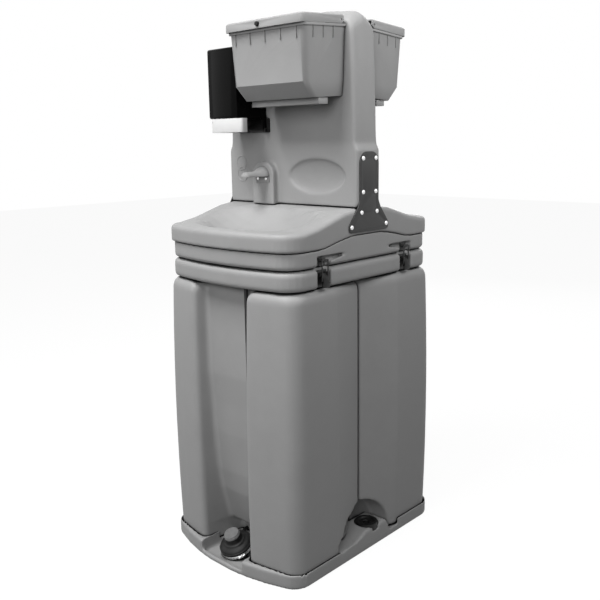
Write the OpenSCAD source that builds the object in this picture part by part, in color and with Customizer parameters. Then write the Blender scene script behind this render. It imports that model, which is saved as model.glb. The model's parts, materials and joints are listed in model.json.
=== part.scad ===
// Portable handwash station for two people: two tanks on a pallet base, a collar ring,
// a saddle deck with two bowls, and a tower with spouts, soap dispensers and towel boxes.
// Millimetres. The origin is on the floor at the centre of the base, and -Y is the front.

/* [Tanks] */
// Width of the tanks at their belly
tank_w = 509; // [460:1:560]
// Depth over both tanks, at their corners
tank_d = 603; // [560:1:660]
// Height of the tanks
tank_h = 774; // [680:1:860]
// How far the front and rear faces bow out
tank_bow = 36; // [20:1:50]
// How much narrower each side is at the top than at the belly
belly_in = 8; // [4:1:12]
// Wall of the tanks
tank_wall = 6; // [4:0.5:8]
// Radius of the tank's outer corners
tank_corner_r = 50; // [36:1:58]
// Radius of the shoulder at the top
shoulder_r = 28; // [20:1:34]
// Half width of the recess between the two columns
recess_half = 97; // [86:1:106]
// Depth of the recess at the top
recess_d = 48; // [36:1:56]
// Depth of the recess behind the pump
recess_foot_d = 142; // [130:1:150]
// Half width that the side flanks come in to at the seam
seam_half = 215; // [200:1:225]
// Distance of the flank's edge from the seam
flank_y = 132; // [115:1:145]
// Gap at the seam between the tanks
seam_gap = 3; // [2:0.5:6]
// Radius of the arch at the foot of the seam
arch_r = 101; // [92:1:106]

/* [Base] */
// Height of the floor that the tanks stand on
floor_h = 20; // [14:1:24]
// Height of the curb round the tanks
curb_h = 44; // [38:1:50]
// Bow of the base at the front and rear
base_bow = 57; // [50:1:64]
// Radius of the base's corners
base_corner_r = 36; // [28:1:44]
// Height of the low wall in front of the pump
lip_h = 15; // [12:1:18]
// Height of the lobe that holds the ballast plug
lobe_h = 60; // [54:1:66]
// Radius of the ballast plug
plug_r = 34; // [28:1:36]

/* [Ring, pan and deck] */
// Height of the collar ring's edge
ring_h = 49.5; // [42:0.5:58]
// Height of the land that the pan stands on, above the ring's edge
land_h = 5.5; // [3:0.5:8]
// Height of the pan at the front
pan_h = 44; // [36:1:54]
// Rise of the parting line from the front to the middle
parting_rise = 24; // [16:1:30]
// Height of the deck's rim above the parting line at the front
rim_h = 47; // [40:1:56]
// Rise of the deck's rim from the front to the tower
deck_rise = 46; // [36:1:54]
// Radius of the deck's top edge
deck_edge_r = 12; // [8:1:16]
// Half width of a bowl
bowl_a = 192; // [170:1:200]
// Half depth of a bowl
bowl_b = 108; // [96:1:112]
// Depth of a bowl
bowl_d = 52; // [40:1:56]

/* [Tower] */
// Height of the tower above the deck
tower_h = 512; // [470:1:560]
// Thickness of the tower
tower_t = 97.4; // [86:0.2:104]
// Width of the tower at the top
tower_top_w = 450; // [420:1:470]
// Height of the wide foot of the tower
tower_foot_h = 149; // [140:1:160]

/* [Towel boxes] */
// Width of a lid
lid_w = 278; // [250:1:282]
// Depth of a box over its lid
lid_reach = 163.3; // [140:0.1:175]
// Height of a box from its lowest edge to the flange's top
box_h = 174.2; // [150:0.1:190]
// Distance of the box's centre from the tower's centre line
box_x = 70.7; // [62:0.1:76]
// Wall of a box
box_wall = 4; // [3:0.5:5]

/* [Soap dispensers] */
// Width of a cover
cover_w = 115; // [100:1:117]
// Depth of a cover
cover_d = 111; // [96:1:120]
// Height of a cover at its front
cover_h = 187; // [170:1:200]
// Height of the push bar
bar_h = 38; // [32:1:42]
// Travel of the push bar
bar_travel = 12; // [8:1:13]

/* [Pumps, hoses and latches] */
// Radius of the pump's lip, below the dome
pump_r = 48; // [44:1:50]
// Tilt of the pump towards the foot
pump_tilt = 22; // [16:1:26]
// Travel of the foot cap
pump_travel = 26; // [18:1:28]
// Outer radius of the hoses
hose_r = 5; // [4:0.5:5.5]
// Radius of the drain caps
cap_r = 33; // [28:1:34]
// Width of a latch
latch_w = 34; // [30:1:38]

/* [Hidden] */

// Overrun of every cut past the face that it opens
over = 1;
// Running clearance of pins and shafts, on the radius
run_gap = 0.05;
// Gap between pieces that only lie near each other
near_gap = 0.3;
// Smallest radius that an edge is given
fine_r = 0.6;

// Facets of the round exact parts
round_fn = 48;
$fn = round_fn;

// Levels of the stack, from the floor up
tank_z = floor_h;
ring_z = tank_z + tank_h;
land_z = ring_z + ring_h;
pan_z = land_z + land_h;
parting_z = pan_z + pan_h;
rim_z = parting_z + rim_h;
tower_z = rim_z + deck_rise;
tower_top_z = tower_z + tower_h;

// Points of the arc that rounds the corner at p, between a and b, in n steps
function along(p, q, d) = let(v = q - p) p + v * d / norm(v);
function turn_of(a0, a1) = let(d = a1 - a0) d > 180 ? d - 360 : d < -180 ? d + 360 : d;
function corner_points(a, p, b, r, n) =
    let(
        u = (a - p) / norm(a - p),
        v = (b - p) / norm(b - p),
        half = acos(max(-1, min(1, u * v))) / 2,
        reach = r / tan(half),
        c = p + (u + v) / norm(u + v) * r / sin(half),
        s = p + u * reach - c,
        e = p + v * reach - c,
        a0 = atan2(s[1], s[0]),
        sweep = turn_of(a0, atan2(e[1], e[0]))
    )
    [for (i = [0:n]) c + r * [cos(a0 + sweep * i / n), sin(a0 + sweep * i / n)]];

// Closed outline from corners [x, y, radius, steps]; a corner with no steps stays sharp
function spot(path, i) = let(k = (i + len(path)) % len(path)) [path[k][0], path[k][1]];
function rounded(path) = [
    for (i = [0:len(path) - 1])
        for (q = path[i][3] == 0
            ? [spot(path, i)]
            : corner_points(spot(path, i - 1), spot(path, i), spot(path, i + 1), path[i][2], path[i][3]))
            q
];
function mirrored(points) = [for (i = [len(points) - 1:-1:0]) [-points[i][0], points[i][1]]];
function both_sides(points) = concat(points, mirrored(points));
// Rounded outline from the corners of its right half
function symmetric(path) =
    rounded(concat(path, [for (i = [len(path) - 1:-1:0]) [-path[i][0], path[i][1], path[i][2], path[i][3]]]));
function at_level(points, z) = [for (p = points) [p[0], p[1], z]];

// Triangles that fill the points first to last from the hub, one of them
function spread_from(hub, first, last) = [
    for (i = [first:last])
        let(next = i == last ? first : i + 1)
        if (i != hub && next != hub) [hub, i, next]
];
// Faces that fill a ring of n points. One with a recess is filled half by half, each from its hub
function cap_faces(n, hub) =
    hub == 0
        ? [[for (i = [0:n - 1]) i]]
        : concat(
            spread_from(hub, 0, n / 2 - 1),
            spread_from(n - 1 - hub, n / 2, n - 1),
            [[n / 2 - 1, n / 2, n - 1, 0]]
        );
// Closed solid through rings of points that run counterclockwise, from the lowest up
module loft(rings, hub = 0) {
    n = len(rings[0]);
    m = len(rings);
    polyhedron(
        points = [for (ring = rings) for (p = ring) p],
        faces = concat(
            cap_faces(n, hub),
            [for (k = [0:m - 2]) for (i = [0:n - 1])
                let(a = k * n + i, b = k * n + (i + 1) % n) [a, a + n, b]],
            [for (k = [0:m - 2]) for (i = [0:n - 1])
                let(a = k * n + i, b = k * n + (i + 1) % n) [a + n, b + n, b]],
            [for (face = cap_faces(n, hub)) [for (i = [len(face) - 1:-1:0]) (m - 1) * n + face[i]]]
        )
    );
}

// Tube along a route of points, with a ring of sides at each
function unit(v) = v / norm(v);
function heading(route, i) =
    unit(route[min(i + 1, len(route) - 1)] - route[max(i - 1, 0)]);
function side_of(t) = abs(t[0]) < 0.9 ? unit(cross(t, [1, 0, 0])) : unit(cross(t, [0, 1, 0]));
module tube(route, r, sides) {
    loft([
        for (i = [0:len(route) - 1])
            let(t = heading(route, i), u = side_of(t), v = cross(t, u))
            [for (k = [0:sides - 1]) route[i] + r * (cos(360 * k / sides) * u + sin(360 * k / sides) * v)]
    ]);
}

// Copies for the rear half: tanks are turned, the tower's pieces are mirrored
module turned() { rotate([0, 0, 180]) children(); }
module facing_rear() { mirror([0, 1, 0]) children(); }

// Tank outline by height: shares of the tank's height and of the recess's growth
belly_share = 0.4134;
recess_shares = [[0, 1], [0.04, 1], [0.075, 0.56], [0.207, 0.3], [0.287, 0.21],
    [0.44, 0.117], [0.553, 0.085], [0.665, 0.02], [0.96, 0]];
tank_level_shares = [0.04, 0.075, 0.13, 0.207, 0.287, 0.44, 0.553, 0.665, 0.8, 0.9];
foot_edge_r = 8;
recess_taper = 13;
recess_draft = 12;
recess_edge_r = 15;
recess_root_r = 12;
flank_edge_r = 8;
seam_edge_r = 18;
bow_stop_shares = [0.33, 0.66];

// Point of each outline's half that sees all the others: where the flank turns in
flank_hub = 3 + 4 + len(bow_stop_shares) + 6;
cavity_hub = 5;

function tank_hx(s) = tank_w / 2 - belly_in * pow((s - belly_share) / (1 - belly_share), 2);
function tank_hy(s) = tank_hx(s) + (tank_d - tank_w) / 2;
function tank_front(s, x) = -(tank_hy(s) + tank_bow * (1 - pow(x / tank_hx(s), 2)));
function recess_depth(s) = recess_d + (recess_foot_d - recess_d) * lookup(s, recess_shares);
function tank_outline(s, t) =
    let(
        hx = tank_hx(s),
        out = recess_half + recess_draft * (s - belly_share),
        far = hx - tank_corner_r,
        bow_x = [for (k = bow_stop_shares) out + (far - out) * k]
    )
    symmetric(concat(
        [[out - recess_taper + t, tank_front(s, 0) + recess_depth(s) + t, recess_root_r, 2],
        [out + t, tank_front(s, out) + t, recess_edge_r, 3]],
        [for (x = bow_x) [x, tank_front(s, x) + t, 0, 0]],
        [[hx - t, -(tank_hy(s) - t), tank_corner_r - t / 2, 5],
        [hx - t, -flank_y, flank_edge_r, 2],
        [seam_half - t, -(seam_gap / 2 + t), seam_edge_r, 3]]
    ));
function tank_ring(s, t) = at_level(tank_outline(s, t), tank_z + s * tank_h);

module tank_skin() {
    s_edge = foot_edge_r / tank_h;
    s_top = 1 - shoulder_r / tank_h;
    loft(concat(
        [tank_ring(0, foot_edge_r / 2), tank_ring(s_edge, 0)],
        [for (s = tank_level_shares) tank_ring(s, 0)],
        [for (a = [0:22.5:90]) tank_ring(s_top + shoulder_r * sin(a) / tank_h, shoulder_r * (1 - cos(a)))]
    ), hub = flank_hub);
}
// Levels of the hollow: below the first two it stays clear of the arch and the drain's pocket
cavity_level_shares = [0.155, 0.21, 0.4, 0.6, 0.8];
low_flank_in = 16;
function flank_at(hx, y) = seam_half + (hx - seam_half) * y / flank_y;
module tank_cavity() {
    rise = tank_wall / tank_h;
    near_flank = flank_y * 0.9;
    function cavity_ring(s, t) =
        let(
            hx = tank_hx(s) - t,
            low = s < cavity_level_shares[1],
            y_in = tank_front(s, 0) + recess_depth(s) + t,
            out = recess_half + t,
            inner_x = arch_x - tank_wall,
            half = [[out, y_in], [out, tank_front(s, out) + t + recess_edge_r / 2],
                [hx - tank_corner_r / 2, -(tank_hy(s) - t)], [hx, -(tank_hy(s) - t - tank_corner_r)],
                [hx - t, -(flank_y + (low ? low_flank_in * 2 : flank_edge_r))],
                [low ? inner_x : flank_at(hx, near_flank) - t, low ? -(flank_y + low_flank_in) : -near_flank],
                [low ? inner_x : seam_half - t - flank_edge_r, -(seam_gap / 2 + t)]]
        )
        at_level(both_sides(half), tank_z + s * tank_h);
    loft(concat(
        [cavity_ring(rise, tank_wall)],
        [for (s = cavity_level_shares) cavity_ring(s, tank_wall)],
        [cavity_ring(1 - (shoulder_r - tank_wall / 2) / tank_h, tank_wall * 1.5),
        cavity_ring(1 - rise, shoulder_r + tank_wall)]
    ), hub = cavity_hub);
}

// Arch pocket at the foot of the seam, and the drain in it
arch_z = 33;
arch_x = 176;
drain_y = 70;
drain_z = 80;
drain_x = 215;
drain_turn = atan((tank_w / 2 - seam_half) / flank_y);
cap_t = 14;
tail_r = 20;
tail_bore_r = 14;
boss_r = 29;
pocket_gap = 4;
arch_step = 10;
arch_foot_z = 62;
arch_reach = flank_y + 2;
arch_bend = 145;
// Side views of the pocket: reach along Y, height. Beside the drain it is open as far as the flank's edge
function arch_point(a) = [arch_r * cos(a), arch_z + arch_r * sin(a)];
drain_arch = concat([for (a = [arch_step / 2:arch_step:arch_bend]) arch_point(a)],
    [[-arch_reach, arch_foot_z], [-arch_reach, 0], [arch_r, 0]]);
plain_arch = [for (a = [arch_step / 2:arch_step:360]) arch_point(a)];
module arch_cut() {
    for (side = [0, 1])
        mirror([side, 0, 0])
            translate([arch_x, 0, 0])
                rotate([90, 0, 90])
                    linear_extrude(tank_w / 2)
                        polygon(side == 0 ? drain_arch : plain_arch);
}
drain_stops = 24;
drain_boss_h = 45;
// Upright prism with flats as far out as r
module prism(r, h) {
    linear_extrude(h)
        polygon([for (k = [0:drain_stops - 1])
            let(a = 360 * (k + 0.5) / drain_stops) r / cos(180 / drain_stops) * [cos(a), sin(a)]]);
}
module at_drain(side = 1) {
    translate([side * drain_x, -drain_y, drain_z])
        rotate([0, 0, side * drain_turn])
            rotate([0, side * 90, 0])
                children();
}
fill_r = 40;
fill_y = 190;
fill_neck_h = 6;
supply_x = 78;
supply_y = 296;
module tank() {
    color("#8a8a8a") difference() {
        union() {
            difference() {
                tank_skin();
                arch_cut();
                tank_cavity();
                at_drain() translate([0, 0, -cap_t - pocket_gap]) prism(r = cap_r + pocket_gap, h = tank_w / 5);
            }
            at_drain() translate([0, 0, -cap_t - drain_boss_h]) prism(r = boss_r, h = drain_boss_h - near_gap);
        }
        at_drain() translate([0, 0, -tank_w / 5]) cylinder(r = tail_r + run_gap, h = tank_w / 5 + over);
    }
}
module front_tank() {
    difference() {
        tank();
        color("#8a8a8a") translate([0, -fill_y, ring_z - tank_wall * 2]) cylinder(r = fill_r + run_gap, h = tank_wall * 3);
    }
}
module rear_tank() { turned() tank(); }

// Base
base_foot_s = (curb_h - floor_h) / tank_h;
base_side_in = 3.4;
base_end_in = 1;
foot_gap = 3.2;
base_hx = tank_hx(base_foot_s) + base_side_in + foot_gap;
base_hy = tank_hy(base_foot_s) + base_end_in;
base_edge_r = 5;
function bowed(points, hx, hy, bow) = [
    for (p = points) [p[0], p[1] * (1 + bow / hy * (1 - pow(p[0] / hx, 2)))]
];
side_stop_shares = [0.87, 0.74, 0.61, 0.48, 0.36, 0.24, 0.12, 0];
function block_half(hx, hy, bow, r, t) =
    let(
        far = hx - r,
        front = [for (k = [0.2, 0.45, 0.72]) [far * k, -(hy - t)]],
        bend = [for (a = [-90:18:0]) [far + (r - t) * cos(a), -(hy - r) + (r - t) * sin(a)]],
        side = [for (k = side_stop_shares) [hx - t, -(flat_y + k * (hy - r - flat_y))]],
        fore = concat(front, bend, side),
        aft = [for (i = [len(fore) - 1:-1:0]) [fore[i][0], -fore[i][1]]]
    )
    bowed(concat(fore, aft), hx, hy, bow);
function block(hx, hy, bow, r, t) = both_sides(block_half(hx, hy, bow, r, t));
function base_ring(t, z) = at_level(block(base_hx, base_hy, base_bow, base_corner_r, t), z);

lobe_front = 128;
lobe_crest = 12;
lobe_rear = 70;
lobe_end = 92;
lobe_in = 178;
slope_y = 60;
slope_h = 43;
well_floor = 5;
lip_w = 16;
ledge_h = 22;
plug_x = 220;
plug_y = 26;
plug_d = 16;
module foot_hollow() {
    grow = -foot_gap;
    translate([0, 0, floor_h])
        linear_extrude(curb_h)
            polygon([for (p = tank_ring(base_foot_s, grow)) [p[0], p[1]]]);
}
module lobe() {
    profile = [[-lobe_front, floor_h], [-lobe_front, slope_h - base_edge_r], [-slope_y, slope_h],
        [-lobe_crest, lobe_h], [lobe_rear, lobe_h],
        [lobe_rear + (lobe_end - lobe_rear) / 2, lobe_h - base_edge_r], [lobe_end, floor_h]];
    intersection() {
        translate([lobe_in, 0, 0])
            rotate([90, 0, 90])
                linear_extrude(base_hx - lobe_in)
                    polygon(profile);
        loft([base_ring(0, floor_h), base_ring(base_edge_r / 2, lobe_h - base_edge_r),
            base_ring(base_edge_r * 1.5, lobe_h)]);
    }
}
// Well for a pump: everything above z, from the column's foot out to the reach
module well_cut(z, reach) {
    half = recess_half - recess_taper;
    back = -tank_front(0, 0) - recess_foot_d + foot_gap;
    translate([-half, -reach, z]) cube([half * 2, reach - back, curb_h]);
}
module base_pallet() {
    color("#8d8d8d") difference() {
        union() {
            difference() {
                loft([base_ring(base_edge_r / 2, 0), base_ring(0, base_edge_r), base_ring(0, curb_h - base_edge_r),
                    base_ring(base_edge_r * 0.3, curb_h - base_edge_r * 0.3), base_ring(base_edge_r, curb_h)]);
                foot_hollow();
                turned() foot_hollow();
                for (turn = [0, 180])
                    rotate([0, 0, turn]) {
                        well_cut(well_floor, base_hy + base_bow - lip_w);
                        well_cut(lip_h, tank_d);
                    }
                // The seam is open to the sides between the lobes
                translate([0, 0, ledge_h])
                    linear_extrude(curb_h)
                        square([tank_w * 2, flank_y * 2], center = true);
            }
            lobe();
            turned() lobe();
        }
        for (side = [0, 180])
            rotate([0, 0, side])
                translate([plug_x, plug_y, lobe_h - plug_d]) cylinder(r = plug_r + run_gap, h = plug_d + over);
    }
}

plug_recess_r = 24;
plug_hole_r = 10;
plug_rise = 5;
module base_plug() {
    color("#1c1c1c") translate([plug_x, plug_y, lobe_h - plug_d]) difference() {
        rotate_extrude() polygon([[0, 0], [plug_r, 0], [plug_r, plug_d + plug_rise / 2],
            [plug_r - plug_rise / 2, plug_d + plug_rise], [plug_recess_r, plug_d + plug_rise],
            [plug_recess_r - plug_rise, plug_d], [0, plug_d]]);
        translate([0, 0, plug_d / 2]) cylinder(r = plug_hole_r, h = plug_d);
    }
}
module right_base_plug() { base_plug(); }
module left_base_plug() { turned() base_plug(); }

// Ring, pan and deck, set in from the belly of the tanks
ring_in = 10.8;
pan_in = 13;
deck_in = 9.5;
ring_end_in = 10.5;
pan_end_in = 11.5;
deck_end_in = 4.5;
block_r = 47;
ring_edge_r = 10;
land_in = 14;
latch_y = 175;
notch_w = 52;
notch_d = 14;
ring_hx = tank_w / 2 - ring_in;
ring_hy = tank_d / 2 - ring_end_in;
pan_hx = tank_w / 2 - pan_in;
pan_hy = tank_d / 2 - pan_end_in;
deck_hx = tank_w / 2 - deck_in;
deck_hy = tank_d / 2 - deck_end_in;
flat_y = tower_t / 2 + 1.3;
rim_shares = [[0, 1], [0.21, 0.85], [0.39, 0.565], [0.575, 0.26], [0.82, 0.02], [1, 0]];
parting_shares = [[0.04, 1], [0.26, 0.625], [0.53, 0]];
function past_tower(y) = max(0, (abs(y) - flat_y) / (deck_hy - flat_y));
function rim(y) = rim_z + deck_rise * lookup(past_tower(y), rim_shares);
function parting(y) = parting_z + parting_rise * lookup(past_tower(y), parting_shares);
bowl_y = 178;
function bowl_drop(x, y) =
    let(q = pow(x / bowl_a, 2) + pow((abs(y) - bowl_y) / bowl_b, 2))
    q < 1 ? bowl_d * pow(1 - q, 0.8) : 0;
function ring_level(t, z) = at_level(block(ring_hx, ring_hy, tank_bow, block_r, t), z);

// Block whose rings follow the parting line and the rim: levels are [inset, z of a point by its y]
module saddle(hx, hy, bow, levels, top_of, cells) {
    half = [for (lev = levels) block_half(hx, hy, bow, block_r, lev)];
    m = len(levels);
    h = len(half[0]);
    n = 2 * h;
    function flip(points) = [for (i = [h - 1:-1:0]) [-points[i][0], points[i][1]]];
    rings = [for (k = [0:m - 1]) for (p = concat(half[k], flip(half[k]))) [p[0], p[1], top_of(k, p[0], p[1])]];
    top = half[m - 1];
    grid = [for (i = [0:h - 1]) for (j = [1:cells - 1])
        let(x = top[i][0] * (2 * j / cells - 1)) [x, top[i][1], top_of(m, x, top[i][1])]];
    base_i = (m - 1) * n;
    function cell(i, j) = j == 0 ? base_i + n - 1 - i : j == cells ? base_i + i : m * n + i * (cells - 1) + j - 1;
    rows = [1:h - 3];
    mid = cells / 2;
    polyhedron(
        points = concat(rings, grid),
        faces = concat(
            [for (i = [0:h - 2]) [i, i + 1, n - 2 - i, n - 1 - i]],
            [for (k = [0:m - 2]) for (i = [0:n - 1])
                let(a = k * n + i, b = k * n + (i + 1) % n) [a, a + n, b]],
            [for (k = [0:m - 2]) for (i = [0:n - 1])
                let(a = k * n + i, b = k * n + (i + 1) % n) [a + n, b + n, b]],
            [for (i = rows) for (j = [0:cells - 1]) [cell(i, j), cell(i + 1, j), cell(i + 1, j + 1)]],
            [for (i = rows) for (j = [0:cells - 1]) [cell(i, j), cell(i + 1, j + 1), cell(i, j + 1)]],
            [for (j = [0:mid - 1]) [cell(0, 0), cell(1, j), cell(1, j + 1)]],
            [for (j = [mid:cells - 1]) [cell(0, cells), cell(1, j), cell(1, j + 1)]],
            [[cell(0, 0), cell(1, mid), cell(0, cells)]],
            [for (j = [0:mid - 1]) [cell(h - 1, 0), cell(h - 2, j + 1), cell(h - 2, j)]],
            [for (j = [mid:cells - 1]) [cell(h - 1, cells), cell(h - 2, j + 1), cell(h - 2, j)]],
            [[cell(h - 1, 0), cell(h - 1, cells), cell(h - 2, mid)]]
        )
    );
}

collar_hose_r = 6.5;
module through_bores(z, h) {
    for (side = [0, 180])
        rotate([0, 0, side])
            translate([supply_x, -supply_y, z]) cylinder(r = collar_hose_r, h = h);
}
module collar_ring() {
    color("#8f8f8f") difference() {
        loft([ring_level(ring_edge_r, ring_z), ring_level(ring_edge_r * 0.3, ring_z + ring_edge_r * 0.3),
            ring_level(0, ring_z + ring_edge_r), ring_level(0, land_z - ring_edge_r),
            ring_level(ring_edge_r * 0.3, land_z - ring_edge_r * 0.3), ring_level(ring_edge_r, land_z),
            ring_level(land_in, land_z), ring_level(land_in, pan_z)]);
        for (sx = [0, 1], sy = [0, 1])
            mirror([sx, 0, 0]) mirror([0, sy, 0])
                translate([ring_hx - notch_d, latch_y - notch_w / 2, ring_z - over])
                    cube([notch_d + over, notch_w, ring_h + land_h + over * 2]);
        translate([0, -fill_y, ring_z - over]) cylinder(r = fill_r + fill_neck_h, h = ring_h + land_h + over * 2);
        through_bores(ring_z - over, ring_h + land_h + over * 2);
    }
}
pan_edge_r = 6;
deck_foot_in = 3;
module lower_pan() {
    color("#8c8c8c") difference() {
        saddle(pan_hx, pan_hy, tank_bow, [pan_edge_r, 0, 0],
            function (k, x, y) k == 0 ? pan_z : k == 1 ? pan_z + pan_edge_r : parting(y) - near_gap * 2, 2);
        through_bores(pan_z - over, pan_h);
        translate([0, -fill_y, pan_z - over]) cylinder(r = fill_r + fill_neck_h, h = pan_h / 2);
        for (sx = [0, 1], sy = [0, 1])
            mirror([sx, 0, 0]) mirror([0, sy, 0]) latch_pocket();
    }
}
// Pocket above a latch, with a wedge that runs on towards the middle
pocket_h = 27;
wedge_l = 62;
module latch_pocket() {
    translate([ring_hx - notch_d, -latch_y, pan_z])
        rotate([90, 0, 90])
            linear_extrude(notch_d * 2)
                polygon([[-notch_w / 2, -over], [notch_w / 2, -over], [notch_w / 2, pocket_h * 0.45],
                    [notch_w / 2 + wedge_l, pocket_h * 0.8], [notch_w / 2 + wedge_l, pocket_h],
                    [-notch_w / 2, pocket_h]]);
}
module basin_deck() {
    color("#979797") difference() {
        saddle(deck_hx, deck_hy, tank_bow,
            [deck_foot_in, 0, 0, deck_edge_r * 0.13, deck_edge_r * 0.5, deck_edge_r],
            function (k, x, y)
                k == 0 ? parting(y)
                : k == 1 ? parting(y) + deck_foot_in
                : k == 2 ? rim(y) - deck_edge_r
                : k == 3 ? rim(y) - deck_edge_r * 0.5
                : k == 4 ? rim(y) - deck_edge_r * 0.13
                : rim(y) - bowl_drop(x, y), 16);
        for (sx = [0, 1], p = low_studs)
            mirror([sx, 0, 0]) stud_bore(p);
    }
}

// Tower
tower_foot_w = 2 * deck_hx;
tower_top_r = 34;
tower_crown = 16;
tower_foot_r = 10;
foot_shoulder = 18;
ridge = 0.6;
// Stops through the tower's thickness: [share of half of it, inset of the outline, drop of the top]
tower_stops = [[-1, 8, 44], [-0.967, 2.4, 30], [-0.836, 0, 20], [-0.5, 0, 8], [0, -ridge, 0]];
function tower_ring(t, drop, y) =
    let(
        foot = tower_foot_w / 2,
        top = tower_top_w / 2,
        low = max(t, 0),
        path = [[foot - low, tower_z + low / 2, tower_foot_r, 3],
            [foot - low, tower_z + tower_foot_h, foot_shoulder, 2],
            [foot - low - foot_shoulder / 2, tower_z + tower_foot_h + foot_shoulder, foot_shoulder, 2],
            [top - t, tower_top_z - tower_crown - drop, tower_top_r, 5],
            [top / 2, tower_top_z - tower_crown / 4 - drop, tower_top_r, 2]]
    )
    [for (p = symmetric(path)) [p[0], p[1], y]];
module tower_body() {
    half = tower_t / 2;
    n = len(tower_stops);
    rotate([90, 0, 0])
        loft(concat(
            [for (s = tower_stops) tower_ring(s[1], s[2], s[0] * half)],
            [for (i = [n - 2:-1:0]) tower_ring(tower_stops[i][1], tower_stops[i][2], -tower_stops[i][0] * half)]
        ));
}
spout_x = -84.5;
boss_w = 85;
boss_h = 119;
boss_out = 20;
boss_r_top = 38;
module boss() {
    path = [[boss_w / 2, 0, 0, 0], [boss_w / 2, boss_h, boss_r_top, 6]];
    translate([spout_x, -tower_t / 2 + boss_out / 2, tower_z])
        rotate([90, 0, 0])
            linear_extrude(boss_out * 1.5)
                polygon(symmetric(path));
}
dimple_x = 103;
dimple_z = 81;
dimple_a = 105;
dimple_b = 48;
dimple_d = 14;
module dimple() {
    steps = [0, 0.35, 0.65, 0.85, 1];
    translate([dimple_x, -tower_t / 2, tower_z + dimple_z])
        rotate([90, 0, 0])
            loft([for (k = [len(steps) - 1:-1:0])
                let(s = steps[k], w = sqrt(1 - pow(s * 0.98, 2)))
                [for (i = [0:27]) [dimple_a * w * cos(i * 360 / 28), dimple_b * w * sin(i * 360 / 28),
                    k == 0 ? over : -dimple_d * s]]]);
}

// Brackets and their studs: places [distance from the middle, height] as on the plate
plate_t = 3;
plate_half = 39.5;
plate_top = 146;
plate_low = 62;
plate_foot = 83;
plate_knee = 42;
// Corners of the right half of a bracket: [from the middle, height, radius, steps]
plate_path = [[plate_foot, -plate_low, 8, 2], [plate_foot, -plate_knee, 10, 2],
    [plate_half + 9.5, 0, 20, 2], [plate_half, 18, 20, 2], [plate_half, plate_top, 30, 6]];
stud_r = 3;
stud_head_r = 6;
stud_head_h = 3.6;
stud_l = 14;
high_studs = [[26.4, 128.6], [26.4, 41.7]];
low_studs = [[32.3, -11.4], [73.5, -47.2]];
module stud_bore(p) {
    for (s = [-1, 1])
        translate([deck_hx - stud_l, s * p[0], tower_z + p[1]])
            rotate([0, 90, 0])
                cylinder(r = stud_r + run_gap, h = stud_l + plate_t + over);
}
module right_bracket() {
    color("#4a4a4a") difference() {
        translate([deck_hx, 0, tower_z])
            rotate([90, 0, 90])
                linear_extrude(plate_t)
                    polygon(symmetric(plate_path));
        for (p = concat(high_studs, low_studs)) stud_bore(p);
    }
}
module left_bracket() { mirror([1, 0, 0]) right_bracket(); }
module bracket_bolts() {
    color("#d8d8d8")
        for (sx = [0, 1], p = concat(high_studs, low_studs), s = [-1, 1])
            mirror([sx, 0, 0])
                translate([deck_hx, s * p[0], tower_z + p[1]])
                    rotate([0, 90, 0])
                        translate([0, 0, -stud_l]) rotate_extrude()
                            polygon([[0, 0], [stud_r, 0], [stud_r, stud_l + plate_t],
                                [stud_head_r, stud_l + plate_t],
                                [stud_head_r * 0.8, stud_l + plate_t + stud_head_h * 0.7],
                                [0, stud_l + plate_t + stud_head_h]]);
}

module tower_shell() {
    color("#929292") difference() {
        union() {
            tower_body();
            boss();
            facing_rear() boss();
        }
        dimple();
        facing_rear() dimple();
        for (sx = [0, 1], p = high_studs)
            mirror([sx, 0, 0]) stud_bore(p);
        for (sy = [0, 1]) mirror([0, sy, 0]) spout_screw_bores();
    }
}

// Spout on its boss
spout_z = 78;
spout_w = 54;
spout_h = 28;
spout_reach = 76;
spout_tip_w = 30;
spout_tip_h = 17;
spout_bore_r = 5;
flange_t = 2.5;
flange_low = 17;
screw_x = 16;
screw_drop = 6;
screw_r = 2;
screw_head_r = 4.2;
screw_head_h = 2.6;
screw_l = 12;
boss_face = tower_t / 2 + boss_out;
module spout_screw_bores() {
    for (s = [-1, 1])
        translate([spout_x + s * screw_x, -boss_face - flange_t - over, tower_z + spout_z - screw_drop])
            rotate([-90, 0, 0]) cylinder(r = screw_r + run_gap, h = screw_l + flange_t + over);
}
function d_ring(w, h, y) = [for (p = symmetric([[w / 2, 0, fine_r * 2, 1],
    [w / 2, h, min(w, h * 2) * 0.42, 5]])) [p[0], p[1], y]];
module spout() {
    color("#9a9a9a") difference() {
        union() {
            translate([spout_x, -boss_face, tower_z + spout_z])
                rotate([90, 0, 0])
                    loft([d_ring(spout_w, spout_h, 0), d_ring(spout_w * 0.86, spout_h * 0.9, spout_reach * 0.3),
                        d_ring(spout_tip_w * 1.1, spout_tip_h * 1.15, spout_reach * 0.7),
                        d_ring(spout_tip_w, spout_tip_h, spout_reach * 0.93),
                        d_ring(spout_tip_w * 0.7, spout_tip_h * 0.7, spout_reach)]);
            translate([spout_x - spout_w / 2, -boss_face - flange_t, tower_z + spout_z - flange_low])
                cube([spout_w, flange_t, flange_low + fine_r]);
        }
        spout_screw_bores();
        translate([spout_x, -boss_face - spout_reach * 0.82, tower_z + spout_z - over])
            cylinder(r = spout_bore_r, h = spout_tip_h / 2 + over);
    }
}
module front_spout() { spout(); }
module rear_spout() { facing_rear() spout(); }
module spout_screws() {
    color("#dcdcdc")
        for (sy = [0, 1], s = [-1, 1])
            mirror([0, sy, 0])
                translate([spout_x + s * screw_x, -boss_face - flange_t - screw_head_h,
                    tower_z + spout_z - screw_drop])
                    rotate([-90, 0, 0]) rotate_extrude()
                        polygon([[0, 0], [screw_head_r * 0.7, 0], [screw_head_r, screw_head_h * 0.5],
                            [screw_head_r, screw_head_h], [screw_r, screw_head_h],
                            [screw_r, screw_head_h + flange_t + screw_l - over], [0, screw_head_h + flange_t + screw_l - over]]);
}

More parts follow.
